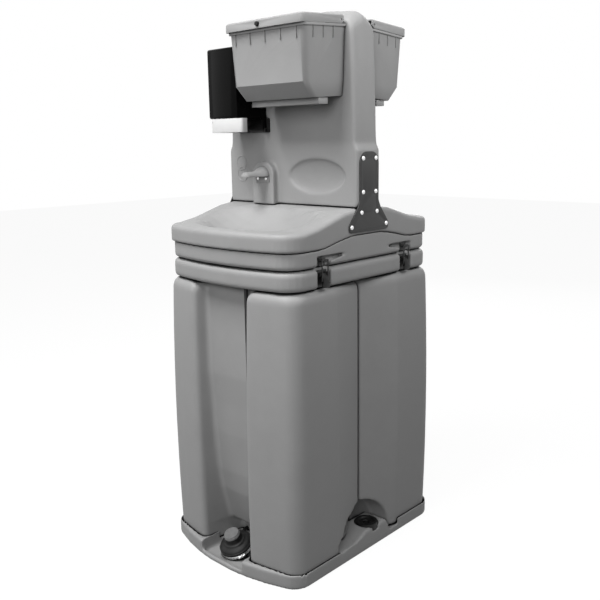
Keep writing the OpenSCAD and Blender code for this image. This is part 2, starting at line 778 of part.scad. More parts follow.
// Towel box: levels are [height share, half width, reach from the tower]
lean = 0.062;
lid_h = 22;
lid_skirt = 3;
box_top_z = 451.8;
flange_w = 4;
flange_h = 6;
box_in = 9;
box_in_top = 4.5;
knee_z = 38.7;
knee_in = 12.7;
floor_in = 45.5;
box_round = 14;
face_y = tower_t / 2;
lid_gap = 0.6;
box_z = tower_z + box_top_z - box_h;
flange_reach = lid_reach - 8.5;
function box_ring(hw, reach, z) =
    [for (p = symmetric([[hw, -(face_y + reach), box_round, 4], [hw, -face_y, 0, 0]]))
        [box_x + p[0], p[1], z + lean * (p[1] + face_y + flange_reach)]];
function box_rings(t) = [
    box_ring(lid_w / 2 - box_in - box_in_top - t, flange_reach - floor_in - t, box_z + t),
    box_ring(lid_w / 2 - box_in - t, flange_reach - knee_in - t, box_z + knee_z + t / 2),
    box_ring(lid_w / 2 - box_in_top - t, flange_reach - flange_w - t, box_z + box_h + (t > 0 ? over : 0))
];
slot_w = 190;
slot_d = 16;
chute_half = 121;
chute_y = 52;
chute_d = 34;
chute_h = 16;
chute_z = box_z + lean * (flange_reach - chute_y) - chute_h;
rib_l = 28;
rib_t = 1.8;
rib_out = 2;
front_rib_step = 54;
side_rib_step = 37;
ear_t = 8;
ear_r = 5;
pin_r = 2.5;
hinge_in = 19;
hinge_up = 10.5;
hinge_x = 100;
hinge_y = face_y + hinge_in;
hinge_z = tower_z + box_top_z + hinge_up + lean * (flange_reach - hinge_in);
module towel_box() {
    color("#8e8e8e") difference() {
        union() {
            difference() {
                union() {
                    loft(box_rings(0));
                    loft([box_ring(lid_w / 2 - fine_r * 2, flange_reach, box_z + box_h - flange_h),
                        box_ring(lid_w / 2 - fine_r * 2, flange_reach, box_z + box_h)]);
                }
                intersection() {
                    loft(box_rings(box_wall));
                    translate([box_x - lid_w, -face_y - box_wall - lid_reach, box_z - over])
                        cube([lid_w * 2, lid_reach, box_h * 2]);
                }
            }
            for (k = [-2:2]) front_rib(k);
            for (s = [-1, 1], k = [-1:1]) side_rib(s, k);
            for (s = [-1, 1]) hinge_ear(box_x + s * hinge_x);
        }
        translate([box_x - slot_w / 2, -face_y - chute_y - chute_d / 2 - slot_d / 2, box_z - over])
            cube([slot_w, slot_d, knee_z]);
        translate([box_x - lid_w, -hinge_y, hinge_z])
            rotate([0, 90, 0]) cylinder(r = pin_r + run_gap, h = lid_w * 2);
    }
}
module front_rib(k) {
    top = box_z + box_h - flange_h;
    translate([box_x + k * front_rib_step - rib_t / 2, -face_y - flange_reach + flange_w - rib_out, top - rib_l])
        cube([rib_t, rib_out * 3, rib_l + flange_h / 2]);
}
module side_rib(s, k) {
    mid = face_y + lid_reach / 2;
    top = box_z + box_h - flange_h + lean * (flange_reach - lid_reach / 2 + k * side_rib_step);
    translate([box_x + s * (lid_w / 2 - box_in_top) - rib_out * (s > 0 ? 2 : 1),
        -mid + k * side_rib_step - rib_t / 2, top - rib_l])
        cube([rib_out * 3, rib_t, rib_l + flange_h / 2]);
}
module hinge_ear(x) {
    low = box_z + box_h + lean * (flange_reach - hinge_in) - flange_h * 3;
    translate([x - ear_t / 2, -hinge_y, hinge_z]) rotate([0, 90, 0]) cylinder(r = ear_r, h = ear_t);
    translate([x - ear_t / 2, -hinge_y - ear_r, low]) cube([ear_t, ear_r * 2, hinge_z - low]);
    // Gusset from the back wall that carries the ear
    translate([x - ear_t / 2, -hinge_y, low]) cube([ear_t, hinge_y - face_y - box_wall / 2, flange_h * 2]);
}
module front_towel_box() { towel_box(); }
module rear_towel_box() { facing_rear() towel_box(); }
module towel_chute() {
    slot_y = -face_y - chute_y - chute_d / 2;
    color("#a9a9a9") difference() {
        translate([box_x - chute_half, -face_y - chute_y - chute_d, chute_z - lean * chute_d])
            cube([chute_half * 2, chute_d, chute_h]);
        translate([box_x - slot_w / 2, slot_y - slot_d / 2, chute_z - chute_h])
            cube([slot_w, slot_d, chute_h * 3]);
        loft(box_rings(0));
    }
}
module front_towel_chute() { towel_chute(); }
module rear_towel_chute() { facing_rear() towel_chute(); }
pin_l = 26;
module lid_hinge_pins() {
    color("#c8c8c8")
        for (sy = [0, 1], s = [-1, 1])
            mirror([0, sy, 0])
                translate([box_x + s * (hinge_x - ear_t / 2 - near_gap) - pin_l / 2, -hinge_y, hinge_z])
                    rotate([0, 90, 0]) cylinder(r = pin_r, h = pin_l);
}

// Lid over the box, with knuckles inside its ears
lid_z = box_z + box_h + lid_gap;
lid_rear = 9.5;
cam_x = box_x - 13;
cam_shaft_r = 4;
cam_z = 10;
function lid_ring(t, z, rear = lid_rear) =
    [for (p = symmetric([[lid_w / 2 - t, -(face_y + lid_reach - t), box_round, 4],
        [lid_w / 2 - t, -(face_y + rear), 0, 0]]))
        [box_x + p[0], p[1], z + lean * (p[1] + face_y + flange_reach)]];
module towel_lid() {
    knuckle_t = ear_t;
    color("#969696") difference() {
        union() {
            difference() {
                loft([lid_ring(0, lid_z), lid_ring(0, lid_z + lid_h - 3), lid_ring(3, lid_z + lid_h)]);
                loft([lid_ring(lid_skirt, lid_z - over, lid_rear - over),
                    lid_ring(lid_skirt, lid_z + lid_h - lid_skirt, lid_rear - over)]);
                // Chamfer that lets the rear end of the skirt swing past the flange
                translate([box_x - lid_w, -hinge_y, hinge_z])
                    rotate([90, 0, 90])
                        linear_extrude(lid_w * 2)
                            polygon([[fine_r, -hinge_up * 1.2], [hinge_in, -hinge_up * 1.2], [hinge_in, lid_rear]]);
            }
            for (s = [-1, 1]) lid_knuckle(box_x + s * (hinge_x - knuckle_t - near_gap));
        }
        translate([box_x - lid_w, -hinge_y, hinge_z])
            rotate([0, 90, 0]) cylinder(r = pin_r + run_gap, h = lid_w * 2);
        cam_bore();
    }
}
module lid_knuckle(x) {
    translate([x - ear_t / 2, -hinge_y, hinge_z]) rotate([0, 90, 0]) cylinder(r = ear_r, h = ear_t);
    translate([x - ear_t / 2, -hinge_y - ear_r, hinge_z])
        cube([ear_t, ear_r * 2, lid_z + lid_h - lid_skirt + lean * (flange_reach - hinge_in) - hinge_z + fine_r * 2]);
}
module at_cam() { translate([cam_x, -face_y - lid_reach, lid_z + cam_z]) rotate([90, 0, 0]) children(); }
module cam_bore() { at_cam() translate([0, 0, -lid_skirt - over]) cylinder(r = cam_shaft_r + run_gap, h = lid_skirt + over * 2); }
module front_towel_lid() { towel_lid(); }
module rear_towel_lid() { facing_rear() towel_lid(); }
cam_knob_r = 6.5;
cam_knob_h = 5;
cam_tongue_l = 16;
cam_tongue_t = 1.6;
module lid_lock() {
    color("#202020") at_cam() {
        translate([0, 0, near_gap]) cylinder(r1 = cam_knob_r, r2 = cam_knob_r * 0.8, h = cam_knob_h);
        translate([0, 0, -lid_skirt - near_gap - cam_tongue_t]) cylinder(r = cam_shaft_r, h = lid_skirt + cam_tongue_t + near_gap * 3);
        translate([0, -cam_shaft_r, -lid_skirt - near_gap - cam_tongue_t]) cube([cam_tongue_l, cam_shaft_r * 2, cam_tongue_t]);
    }
}
module front_lid_lock() { lid_lock(); }
module rear_lid_lock() { facing_rear() lid_lock(); }

// Soap dispenser: back plate with ears, cover on them, bar on the cover
cover_x = -142.5;
cover_z = 239;
cover_wall = 3;
back_t = 6;
cover_slope = 17;
soap_pivot_y = 9;
soap_pivot_z = 32;
soap_ear_t = 5;
soap_pin_r = 3;
bar_left = 3;
bar_right = 15;
bar_in = 1;
bar_rear = 30;
soap_z = tower_z + cover_z;
bar_z = soap_z - bar_h;
left_x = cover_x - cover_w / 2;
right_x = cover_x + cover_w / 2;
bar_x0 = left_x + bar_left;
bar_x1 = right_x + bar_right;
pivot_y = face_y + soap_pivot_y + back_t / 2;
pivot_z = soap_z - soap_pivot_z;
ear_x1 = bar_x1 - 3;
module soap_back() {
    color("#262626") {
        difference() {
            union() {
                translate([left_x + cover_wall * 2, -face_y - back_t, soap_z]) cube([cover_w - cover_wall * 4, back_t, cover_h]);
                translate([bar_x0, -face_y - back_t, bar_z]) cube([bar_x1 - bar_x0, back_t, bar_h - near_gap]);
                for (x = [bar_x0, ear_x1 - soap_ear_t])
                    translate([x, -pivot_y, pivot_z]) {
                        rotate([0, 90, 0]) cylinder(r = soap_pin_r * 2, h = soap_ear_t);
                        translate([0, 0, -soap_pin_r * 2]) cube([soap_ear_t, pivot_y - face_y - back_t / 2, soap_pin_r * 4]);
                    }
            }
            translate([bar_x0 - over, -pivot_y, pivot_z]) rotate([0, 90, 0])
                cylinder(r = soap_pin_r + run_gap, h = bar_x1 - bar_x0 + over * 2);
        }
        // Shelf under the bottle
        translate([cover_x - cover_w * 0.34, -face_y - cover_d * 0.8, soap_z + cover_wall * 2.4])
            cube([cover_w * 0.68, cover_d * 0.8 - back_t / 2, cover_wall]);
    }
}
module front_soap_back() { soap_back(); }
module rear_soap_back() { facing_rear() soap_back(); }
module soap_bottle() {
    w = cover_w * 0.68;
    d = cover_d * 0.72;
    color("#e6e6e0") translate([cover_x, -face_y - back_t - d / 2 - near_gap, soap_z + cover_wall * 3.4]) {
        linear_extrude(cover_h * 0.74) polygon(rounded([[w / 2, -d / 2, 10, 4], [w / 2, d / 2, 10, 4],
            [-w / 2, d / 2, 10, 4], [-w / 2, -d / 2, 10, 4]]));
        cylinder(r = 14, h = cover_h * 0.8);
    }
}
module front_soap_bottle() { soap_bottle(); }
module rear_soap_bottle() { facing_rear() soap_bottle(); }
arm_t = 4;
guide_r = 3;
guide_l = 5.2;
module cover_profile(t) {
    // Side view of the cover: reach from the tower, height above its foot
    polygon(rounded([[face_y + near_gap, t, 0, 0], [face_y + cover_d - t, t, 6, 3],
        [face_y + cover_d - t, cover_h - t, 8, 4], [face_y + near_gap, cover_h + cover_slope - t, 0, 0]]));
}
module soap_cover() {
    color("#0c0c0c") {
        difference() {
            translate([right_x, 0, soap_z]) rotate([90, 0, -90]) linear_extrude(cover_w) cover_profile(0);
            translate([right_x - cover_wall, 0, soap_z]) rotate([90, 0, -90])
                linear_extrude(cover_w - cover_wall * 2) cover_profile(cover_wall);
            translate([left_x + cover_wall, -face_y - cover_wall * 3, soap_z - over])
                cube([cover_w - cover_wall * 2, cover_wall * 3, cover_h * 2]);
        }
        for (x = [bar_x0 + soap_ear_t + near_gap, ear_x1 - soap_ear_t - near_gap - arm_t])
            soap_arm(x);
        for (x = [left_x + cover_w * 0.3, left_x + cover_w * 0.7])
            translate([x, -face_y - cover_d * 0.6, bar_z + bar_h - guide_l]) {
                cylinder(r = guide_r, h = guide_l + cover_wall / 2);
                cylinder(r = guide_r * 1.8, h = cover_wall / 2);
            }
    }
}
module soap_arm(x) {
    translate([x, -pivot_y, pivot_z]) {
        rotate([0, 90, 0]) cylinder(r = soap_pin_r * 1.8, h = arm_t);
        translate([x < cover_x ? -soap_ear_t - near_gap : arm_t - fine_r, 0, 0])
            rotate([0, 90, 0]) cylinder(r = soap_pin_r, h = soap_ear_t + near_gap + fine_r);
        translate([0, -soap_pin_r * 1.8, 0]) cube([arm_t, soap_pin_r * 3.6, soap_pivot_z + cover_wall / 2]);
    }
    if (x > right_x - arm_t)
        translate([right_x - arm_t, -pivot_y - soap_pin_r * 1.8, soap_z - near_gap - cover_wall])
            cube([x - right_x + arm_t * 2, soap_pin_r * 3.6, cover_wall + near_gap * 2]);
}
module front_soap_cover() { soap_cover(); }
module rear_soap_cover() { facing_rear() soap_cover(); }
module push_bar() {
    w = bar_x1 - bar_x0;
    mid = (bar_x0 + bar_x1) / 2;
    front = face_y + cover_d - bar_in;
    rear = face_y + bar_rear;
    top = soap_z - near_gap;
    color("#e9e9e9") difference() {
        translate([0, 0, bar_z]) linear_extrude(bar_h - near_gap)
            polygon([for (p = rounded([[w / 2, -front, 9, 4], [w / 2, -rear, 2, 2],
                [-w / 2, -rear, 2, 2], [-w / 2, -front, 9, 4]])) [mid + p[0], p[1]]]);
        translate([bar_x0 + cover_wall, -front + cover_wall, bar_z + cover_wall])
            cube([w - cover_wall * 2, front, bar_h - cover_wall * 1.6 - near_gap]);
        for (x = [left_x + cover_w * 0.3, left_x + cover_w * 0.7])
            translate([x, -face_y - cover_d * 0.6, bar_z + bar_h / 2]) linear_extrude(bar_h)
                polygon(rounded([for (q = [[1, -1], [1, 1], [-1, 1], [-1, -1]])
                    [q[0] * (guide_r + near_gap), q[1] > 0 ? guide_r + near_gap : -bar_travel - guide_r - near_gap, guide_r, 4]]));
    }
}
module front_push_bar() { push_bar(); }
module rear_push_bar() { facing_rear() push_bar(); }

// Foot pump: heights are along its tilted axis, from the lip that carries the dome
pump_x = -8;
pump_y = 285;
pump_z = 34.5;
lip_t = 3;
lip_out = 5;
column_r = pump_r - lip_out;
band_t = 8;
band_w = 1.6;
band_drop = 12;
bellows_h = 34;
neck_r = 20;
neck_l = 16;
neck_gap = 0.6;
foot_cap_r = 22;
foot_cap_out = 4;
foot_cap_t = 5;
// Outline of the dome, as shares of its radius and height
dome_shares = [[1, 0], [1, 0.14], [0.97, 0.3], [0.86, 0.48], [0.74, 0.58], [0.72, 0.7], [0.58, 0.86], [0.5, 1]];
module at_pump() {
    translate([pump_x, -pump_y, pump_z]) rotate([pump_tilt, 0, 0]) children();
}
module pump_body() {
    bore = pump_travel - bellows_h + neck_l + over;
    color("#1b1b1b") difference() {
        at_pump() {
            translate([0, 0, -pump_z * 3]) cylinder(r = column_r, h = pump_z * 3);
            translate([0, 0, -lip_t]) cylinder(r = pump_r, h = lip_t);
        }
        translate([pump_x - pump_r * 2, -pump_y - pump_r * 2, well_floor - tank_h])
            cube([pump_r * 4, pump_r * 4, tank_h]);
        at_pump() translate([0, 0, -bore]) cylinder(r = neck_r + neck_gap, h = bore + over);
    }
}
module front_pump_body() { pump_body(); }
module rear_pump_body() { turned() pump_body(); }
// Band clamp, with its screw block at an angle round the pump
clamp_turn = 78;
clamp_ear = [8, 6];
clamp_screw_r = 2;
clamp_screw_l = 22;
module pump_clamp() {
    r = column_r + near_gap;
    color("#cfcfcf") at_pump() translate([0, 0, -band_drop]) rotate([0, 0, clamp_turn]) {
        difference() {
            cylinder(r = r + band_w, h = band_t);
            translate([0, 0, -over]) cylinder(r = r, h = band_t + over * 2);
        }
        translate([-clamp_ear[0] / 2, -r - clamp_ear[1], 0]) cube([clamp_ear[0], clamp_ear[1] - near_gap, band_t]);
        translate([-clamp_screw_l / 2, -r - clamp_ear[1] / 2 - clamp_screw_r, band_t / 2])
            rotate([0, 90, 0]) cylinder(r = clamp_screw_r, h = clamp_screw_l);
    }
}
module pump_clamps() {
    pump_clamp();
    turned() pump_clamp();
}
module pump_bellows() {
    r = pump_r - near_gap;
    inner = neck_r + neck_gap;
    color("#161616") at_pump() rotate_extrude()
        polygon(concat([[inner, 0]], [for (q = dome_shares) [r * q[0], bellows_h * q[1]]], [[inner, bellows_h]]));
}
module front_pump_bellows() { pump_bellows(); }
module rear_pump_bellows() { turned() pump_bellows(); }
module pump_cap() {
    rim_r = foot_cap_r + foot_cap_out;
    color("#5a5a5a") at_pump() {
        translate([0, 0, bellows_h - neck_l]) cylinder(r = neck_r, h = neck_l + foot_cap_t);
        translate([0, 0, bellows_h + near_gap]) rotate_extrude()
            polygon([[0, 0], [rim_r, 0], [rim_r, foot_cap_t], [foot_cap_r, foot_cap_t * 2], [0, foot_cap_t * 2]]);
    }
}
module front_pump_cap() { pump_cap(); }
module rear_pump_cap() { turned() pump_cap(); }

// Hoses that the station holds all the way
supply_route = [[37, -277, 13], [46, -280, 13], [60, -288, 14], [71, -294, 20], [76.5, -296, 30],
    [supply_x, -supply_y, 44], [supply_x, -supply_y, 300], [supply_x, -supply_y, 560],
    [supply_x, -supply_y, 800], [supply_x, -supply_y, 844]];
suction_route = [[-41, -245, 13], [-48, -238, 13], [-56, -228, 15], [-60, -214, 20], [-60, -203, 27],
    [-60, -192.2, 30]];
hose_sides = 10;
module front_supply_hose() { color("#2a2a2a") tube(supply_route, hose_r, hose_sides); }
module rear_supply_hose() { turned() front_supply_hose(); }
module front_suction_hose() { color("#2a2a2a") tube(suction_route, hose_r, hose_sides); }
module rear_suction_hose() { turned() front_suction_hose(); }

// Drain in the arch pocket
strainer_l = 12;
tail_l = 36;
module drain_strainer() {
    at_drain() translate([0, 0, -cap_t / 2 - tail_l - strainer_l]) difference() {
        cylinder(r = tail_r, h = strainer_l);
        translate([0, 0, strainer_l / 4]) cylinder(r = tail_bore_r, h = strainer_l);
    }
}
module drain_strainers() {
    color("#b8b8b8") {
        drain_strainer();
        turned() drain_strainer();
    }
}
module drain_tail() {
    at_drain() translate([0, 0, -cap_t / 2 - tail_l]) difference() {
        cylinder(r = tail_r, h = tail_l);
        translate([0, 0, -over]) cylinder(r = tail_bore_r, h = tail_l + over * 2);
    }
}
module drain_tails() {
    color("#c4c4c4") {
        drain_tail();
        turned() drain_tail();
    }
}
grip_n = 8;
grip = [4, 8, 12];
module drain_cap() {
    color("#9c9c9c") at_drain() translate([0, 0, -cap_t]) difference() {
        union() {
            cylinder(r = cap_r, h = cap_t);
            for (a = [0:360 / grip_n:359]) rotate([0, 0, a]) translate([cap_r - grip[0] / 2, -grip[1] / 2, 0]) cube(grip);
        }
        translate([0, 0, -over]) cylinder(r = tail_r + near_gap, h = cap_t * 0.6 + over);
    }
}
module front_drain_cap() { drain_cap(); }
module rear_drain_cap() { turned() drain_cap(); }
fill_cap_out = 4;
module fresh_fill_cap() {
    color("#1e1e1e") translate([0, -fill_y, ring_z - tank_wall * 2]) {
        cylinder(r = fill_r, h = tank_wall * 2 + near_gap);
        translate([0, 0, tank_wall * 2 + near_gap]) cylinder(r = fill_r + fill_cap_out, h = ring_h * 0.4);
    }
}

// Draw latches in the notches of the ring: sizes are outwards from the notch and up from the ring's foot
latch_face = ring_hx - notch_d;
base_plate = [3, latch_w, 43.5];
base_plate_up = 3;
pivot_out = 9;
pivot_up = 36;
latch_pin_r = 2.2;
bail_out = 14.2;
bail_up = 19;
bail_top = 73;
bail_r = 1.8;
bail_half = latch_w / 2 - 5.9;
lever_half = bail_half - bail_r - near_gap;
ear_t_latch = 3;
ear_in_latch = bail_half + bail_r + near_gap;
latch_ear = [12, ear_t_latch, 10];
// Side view of the lever round its pivot, and the wider grip at its end
lever_side = [[-3.2, 0], [-1.6, 2.8], [1.6, 2.8], [3.2, 0], [8.8, -12], [8.8, -24], [6.5, -26], [1.6, -24], [-2, -8]];
grip_out = 6;
grip_down = 34;
lever_grip = [3.8, 26, 12];
catch_half = 8;
catch_t = 5;
catch_plate = [2.5, 24, 23];
catch_plate_up = 57;
module at_latch(sx, sy) {
    mirror([sx, 0, 0]) mirror([0, sy, 0]) translate([latch_face, -latch_y, ring_z]) children();
}
module latch_base() {
    translate([0, -latch_w / 2, base_plate_up]) cube(base_plate);
    difference() {
        for (s = [0, 1])
            mirror([0, s, 0])
                translate([0, ear_in_latch, pivot_up - latch_ear[2] / 2]) cube(latch_ear);
        translate([pivot_out, -latch_w, pivot_up])
            rotate([-90, 0, 0]) cylinder(r = latch_pin_r + run_gap, h = latch_w * 2);
    }
}
module latch_bases() {
    color("#303030") for (sx = [0, 1], sy = [0, 1]) at_latch(sx, sy) latch_base();
}
module latch_catch() {
    top = bail_top - bail_r - near_gap;
    translate([0, -catch_half, top - catch_t]) cube([bail_out + bail_r, catch_half * 2, catch_t]);
    translate([0, -catch_plate[1] / 2, catch_plate_up]) cube(catch_plate);
}
module latch_catches() {
    color("#b0b0b0") for (sx = [0, 1], sy = [0, 1]) at_latch(sx, sy) latch_catch();
}
module lever() {
    pin_half = ear_in_latch + ear_t_latch + near_gap;
    color("#151515") difference() {
        union() {
            translate([pivot_out, lever_half, pivot_up])
                rotate([90, 0, 0]) linear_extrude(lever_half * 2) polygon(lever_side);
            translate([pivot_out, -pin_half, pivot_up])
                rotate([-90, 0, 0]) cylinder(r = latch_pin_r, h = pin_half * 2);
            translate([pivot_out + grip_out, -lever_grip[1] / 2, pivot_up - grip_down]) cube(lever_grip);
        }
        translate([bail_out, -latch_w, bail_up])
            rotate([-90, 0, 0]) cylinder(r = bail_r + run_gap, h = latch_w * 2);
    }
}
module bail() {
    color("#c9c9c9") translate([bail_out, 0, 0]) {
        for (z = [bail_up, bail_top])
            translate([0, -bail_half, z]) rotate([-90, 0, 0]) cylinder(r = bail_r, h = bail_half * 2);
        for (s = [-1, 1])
            translate([0, s * bail_half, bail_up]) cylinder(r = bail_r, h = bail_top - bail_up);
    }
}
module lever_front_right() { at_latch(0, 0) lever(); }
module lever_rear_right() { at_latch(0, 1) lever(); }
module lever_front_left() { at_latch(1, 0) lever(); }
module lever_rear_left() { at_latch(1, 1) lever(); }
module bail_front_right() { at_latch(0, 0) bail(); }
module bail_rear_right() { at_latch(0, 1) bail(); }
module bail_front_left() { at_latch(1, 0) bail(); }
module bail_rear_left() { at_latch(1, 1) bail(); }

base_pallet();
front_tank();
rear_tank();
collar_ring();
lower_pan();
basin_deck();
tower_shell();
left_bracket();
right_bracket();
bracket_bolts();
front_towel_box();
rear_towel_box();
front_towel_chute();
rear_towel_chute();
lid_hinge_pins();
front_towel_lid();
rear_towel_lid();
front_lid_lock();
rear_lid_lock();
front_soap_back();
rear_soap_back();
front_soap_bottle();
rear_soap_bottle();
front_soap_cover();
rear_soap_cover();
front_push_bar();
rear_push_bar();
front_spout();
rear_spout();
spout_screws();
front_pump_body();
rear_pump_body();
front_pump_bellows();
rear_pump_bellows();
front_pump_cap();
rear_pump_cap();
pump_clamps();
front_suction_hose();
rear_suction_hose();
front_supply_hose();
rear_supply_hose();
drain_strainers();
drain_tails();
front_drain_cap();
rear_drain_cap();
left_base_plug();
right_base_plug();
fresh_fill_cap();
latch_catches();
latch_bases();
lever_front_right();
lever_rear_right();
lever_front_left();
lever_rear_left();
bail_front_right();
bail_rear_right();
bail_front_left();
bail_rear_left();
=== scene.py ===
"""Looks of a portable handwash station for two people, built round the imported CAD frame.

The shells are rotationally moulded polyethylene, so their CAD solids are softened the way such a
moulding comes out of its mould. Metal, rubber and gloss plastic parts keep their crisp edges with
a small bevel. The turned parts, the spouts and the push bars are modelled here. Sizes are in
millimetres, and MM turns them to metres.
"""

import json
import logging
import math
from dataclasses import dataclass, field
from enum import Enum
from typing import Any, Callable, Iterable, Sequence

import bpy
from mathutils import Matrix, Vector


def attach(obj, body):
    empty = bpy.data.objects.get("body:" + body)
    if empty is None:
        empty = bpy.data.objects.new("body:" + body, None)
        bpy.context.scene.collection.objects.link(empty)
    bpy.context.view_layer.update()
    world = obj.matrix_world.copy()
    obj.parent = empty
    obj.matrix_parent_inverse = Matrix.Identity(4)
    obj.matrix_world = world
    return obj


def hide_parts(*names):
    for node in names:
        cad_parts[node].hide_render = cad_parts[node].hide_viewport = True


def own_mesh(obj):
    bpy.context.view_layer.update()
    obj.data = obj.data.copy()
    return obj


LOG = logging.getLogger("handwash_station")
MM = 0.001
SNAP_MM = 0.1
WELD_MM = 0.02
FLAT_DEGREES = 1.0
BEVEL_DEGREES = 40.0
SMOOTH_DEGREES = 35.0
TURNED_SMOOTH_DEGREES = 38.0
POLE_R_MM = 0.02

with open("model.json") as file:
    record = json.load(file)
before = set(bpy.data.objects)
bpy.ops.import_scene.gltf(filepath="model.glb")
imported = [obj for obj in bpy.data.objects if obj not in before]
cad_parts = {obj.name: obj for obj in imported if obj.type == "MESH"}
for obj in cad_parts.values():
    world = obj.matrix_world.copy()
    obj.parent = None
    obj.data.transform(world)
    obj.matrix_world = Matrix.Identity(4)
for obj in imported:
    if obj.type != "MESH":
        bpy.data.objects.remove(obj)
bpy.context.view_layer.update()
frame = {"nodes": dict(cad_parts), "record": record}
RECORD = frame["record"]
BODY_OF = {node: body for body, nodes in RECORD["behaviour"]["bodies"].items() for node in nodes}
SLOT_OF = {part["node"]: part["material_slot"] for part in RECORD["subparts"]}


class Side(Enum):
    """The two users' sides of the station, with the sign of Y that each lies on."""

    FRONT = -1
    REAR = 1

    @property
    def word(self) -> str:
        """The side's name as the nodes use it."""
        return self.name.lower()


# Materials


def linear(colour: str) -> tuple[float, float, float, float]:
    """Turns an sRGB hex colour to linear.

    Args:
        colour: Six hex digits after a hash.

    Returns:
        The linear red, green and blue, with an alpha of 1.
    """
    shares = [int(colour[i : i + 2], 16) / 255 for i in (1, 3, 5)]
    low = [c / 12.92 if c <= 0.04045 else ((c + 0.055) / 1.055) ** 2.4 for c in shares]
    return (low[0], low[1], low[2], 1.0)


def add_node(tree: bpy.types.NodeTree, kind: str, links: dict[str, Any], **settings: Any) -> bpy.types.Node:
    """Adds a node with its settings and links.

    Args:
        tree: The node tree that gets the node.
        kind: The node's type name.
        links: For each input's name or index, an output socket or a plain value.
        **settings: Attributes that are set on the node.

    Returns:
        The new node.
    """
    node = tree.nodes.new(kind)
    for name, value in settings.items():
        setattr(node, name, value)
    for key, value in links.items():
        socket = node.inputs[key]
        if isinstance(value, bpy.types.NodeSocket):
            tree.links.new(value, socket)
        else:
            socket.default_value = value
    return node


@dataclass(frozen=True)
class Finish:
    """A surface finish: its colour, how it shines, and the relief that its making leaves.

    Attributes:
        name: The real material's common name.
        colour: Its colour in sRGB hex.
        worn: The colour of its lighter or darker patches.
        patch_mm: Size of those patches.
        patch_share: How far the patches go from the one colour to the other.
        roughness: Roughness of the clean surface.
        rough_spread: How much the roughness varies over scuffs.
        grain_mm: Size of the relief's grain.
        grain_depth_mm: Height of the relief.
        metallic: 1 for bare metal.
        ior: Index of refraction of what isn't metal.
        seam_mm: Reach of the painted shade that darkens seams and corners, or 0 for none.
    """

    name: str
    colour: str
    worn: str
    patch_mm: float = 60.0
    patch_share: float = 0.5
    roughness: float = 0.5
    rough_spread: float = 0.1
    grain_mm: float = 1.6
    grain_depth_mm: float = 0.05
    metallic: float = 0.0
    ior: float = 1.5
    seam_mm: float = 0.0

    def material(self) -> bpy.types.Material:
        """Builds the finish once, and returns it from then on."""
        found = bpy.data.materials.get(self.name)
        if found:
            return found
        made = bpy.data.materials.new(self.name)
        made.use_nodes = True
        tree = made.node_tree
        tree.nodes.clear()
        place = add_node(tree, "ShaderNodeTexCoord", {}).outputs["Object"]
        patches = add_node(
            tree, "ShaderNodeTexNoise",
            {"Vector": place, "Scale": 1 / (self.patch_mm * MM), "Detail": 5.0, "Roughness": 0.6},
        ).outputs["Fac"]
        spread = add_node(
            tree, "ShaderNodeMapRange",
            {"Value": patches, "From Min": 0.3, "From Max": 0.7, "To Min": 0.0, "To Max": self.patch_share},
        ).outputs[0]
        mixed = add_node(
            tree, "ShaderNodeMix", {0: spread, 6: linear(self.colour), 7: linear(self.worn)}, data_type="RGBA"
        ).outputs[2]
        # Painted shade: an ambient-occlusion mask darkens the colour to near black in seams, crevices and
        # corners
        if self.seam_mm:
            open_share = add_node(
                tree, "ShaderNodeAmbientOcclusion", {"Distance": self.seam_mm * MM}, samples=8
            ).outputs["AO"]
            unshaded = add_node(
                tree, "ShaderNodeMapRange", {"Value": open_share, "From Min": 0.38, "From Max": 0.62},
                interpolation_type="SMOOTHSTEP",
            ).outputs[0]
            mixed = add_node(
                tree, "ShaderNodeMix", {0: unshaded, 6: linear("#060606"), 7: mixed}, data_type="RGBA"
            ).outputs[2]
        rough = add_node(
            tree, "ShaderNodeMapRange",
            {
                "Value": patches, "From Min": 0.25, "From Max": 0.75,
                "To Min": self.roughness - self.rough_spread, "To Max": self.roughness + self.rough_spread,
            },
        ).outputs[0]
        grain = add_node(
            tree, "ShaderNodeTexNoise",
            {"Vector": place, "Scale": 1 / (self.grain_mm * MM), "Detail": 3.0, "Roughness": 0.55},
        ).outputs["Fac"]
        bump = add_node(
            tree, "ShaderNodeBump", {"Height": grain, "Distance": self.grain_depth_mm * MM, "Strength": 1.0}
        ).outputs[0]
        shader = add_node(
            tree, "ShaderNodeBsdfPrincipled",
            {
                "Base Color": mixed, "Roughness": rough, "Normal": bump,
                "Metallic": self.metallic, "IOR": self.ior,
            },
        )
        add_node(tree, "ShaderNodeOutputMaterial", {"Surface": shader.outputs[0]})
        return made


# Rotomoulded polyethylene: waxy, with the fine even pitting of the mould and soft scuffs, and painted shade
# darkening its seams and corners
GREY_POLYETHYLENE = Finish(
    "grey_rotomoulded_polyethylene", "#868686", "#909090", patch_mm=90, roughness=0.55,
    rough_spread=0.06, grain_mm=2.6, grain_depth_mm=0.3, ior=1.42, seam_mm=15,
)
# Powder-coated steel plate: dark, with orange peel
DARK_PLATE = Finish(
    "powder_coated_steel_plate", "#323232", "#3c3c3c", patch_mm=25, roughness=0.5, grain_mm=1.4,
    grain_depth_mm=0.06, ior=1.35,
)
# Bright zinc-plated steel, drawn along its length
BRIGHT_ZINC = Finish(
    "bright_zinc_plated_steel", "#e6e6e6", "#c8c8c8", patch_mm=6, roughness=0.3, rough_spread=0.08,
    grain_mm=0.8, grain_depth_mm=0.01, metallic=0.8,
)
# Latch plates of dull plated steel
LATCH_STEEL = Finish(
    "dull_plated_steel", "#3a3a3a", "#161616", patch_mm=7, patch_share=0.9, roughness=0.36,
    grain_mm=0.9, grain_depth_mm=0.02, metallic=0.6,
)
# High-impact polystyrene lip under a towel box, satin
PALE_POLYSTYRENE = Finish(
    "satin_polystyrene", "#8c8c8c", "#848484", patch_mm=40, roughness=0.42, grain_mm=1.0,
    grain_depth_mm=0.03,
)
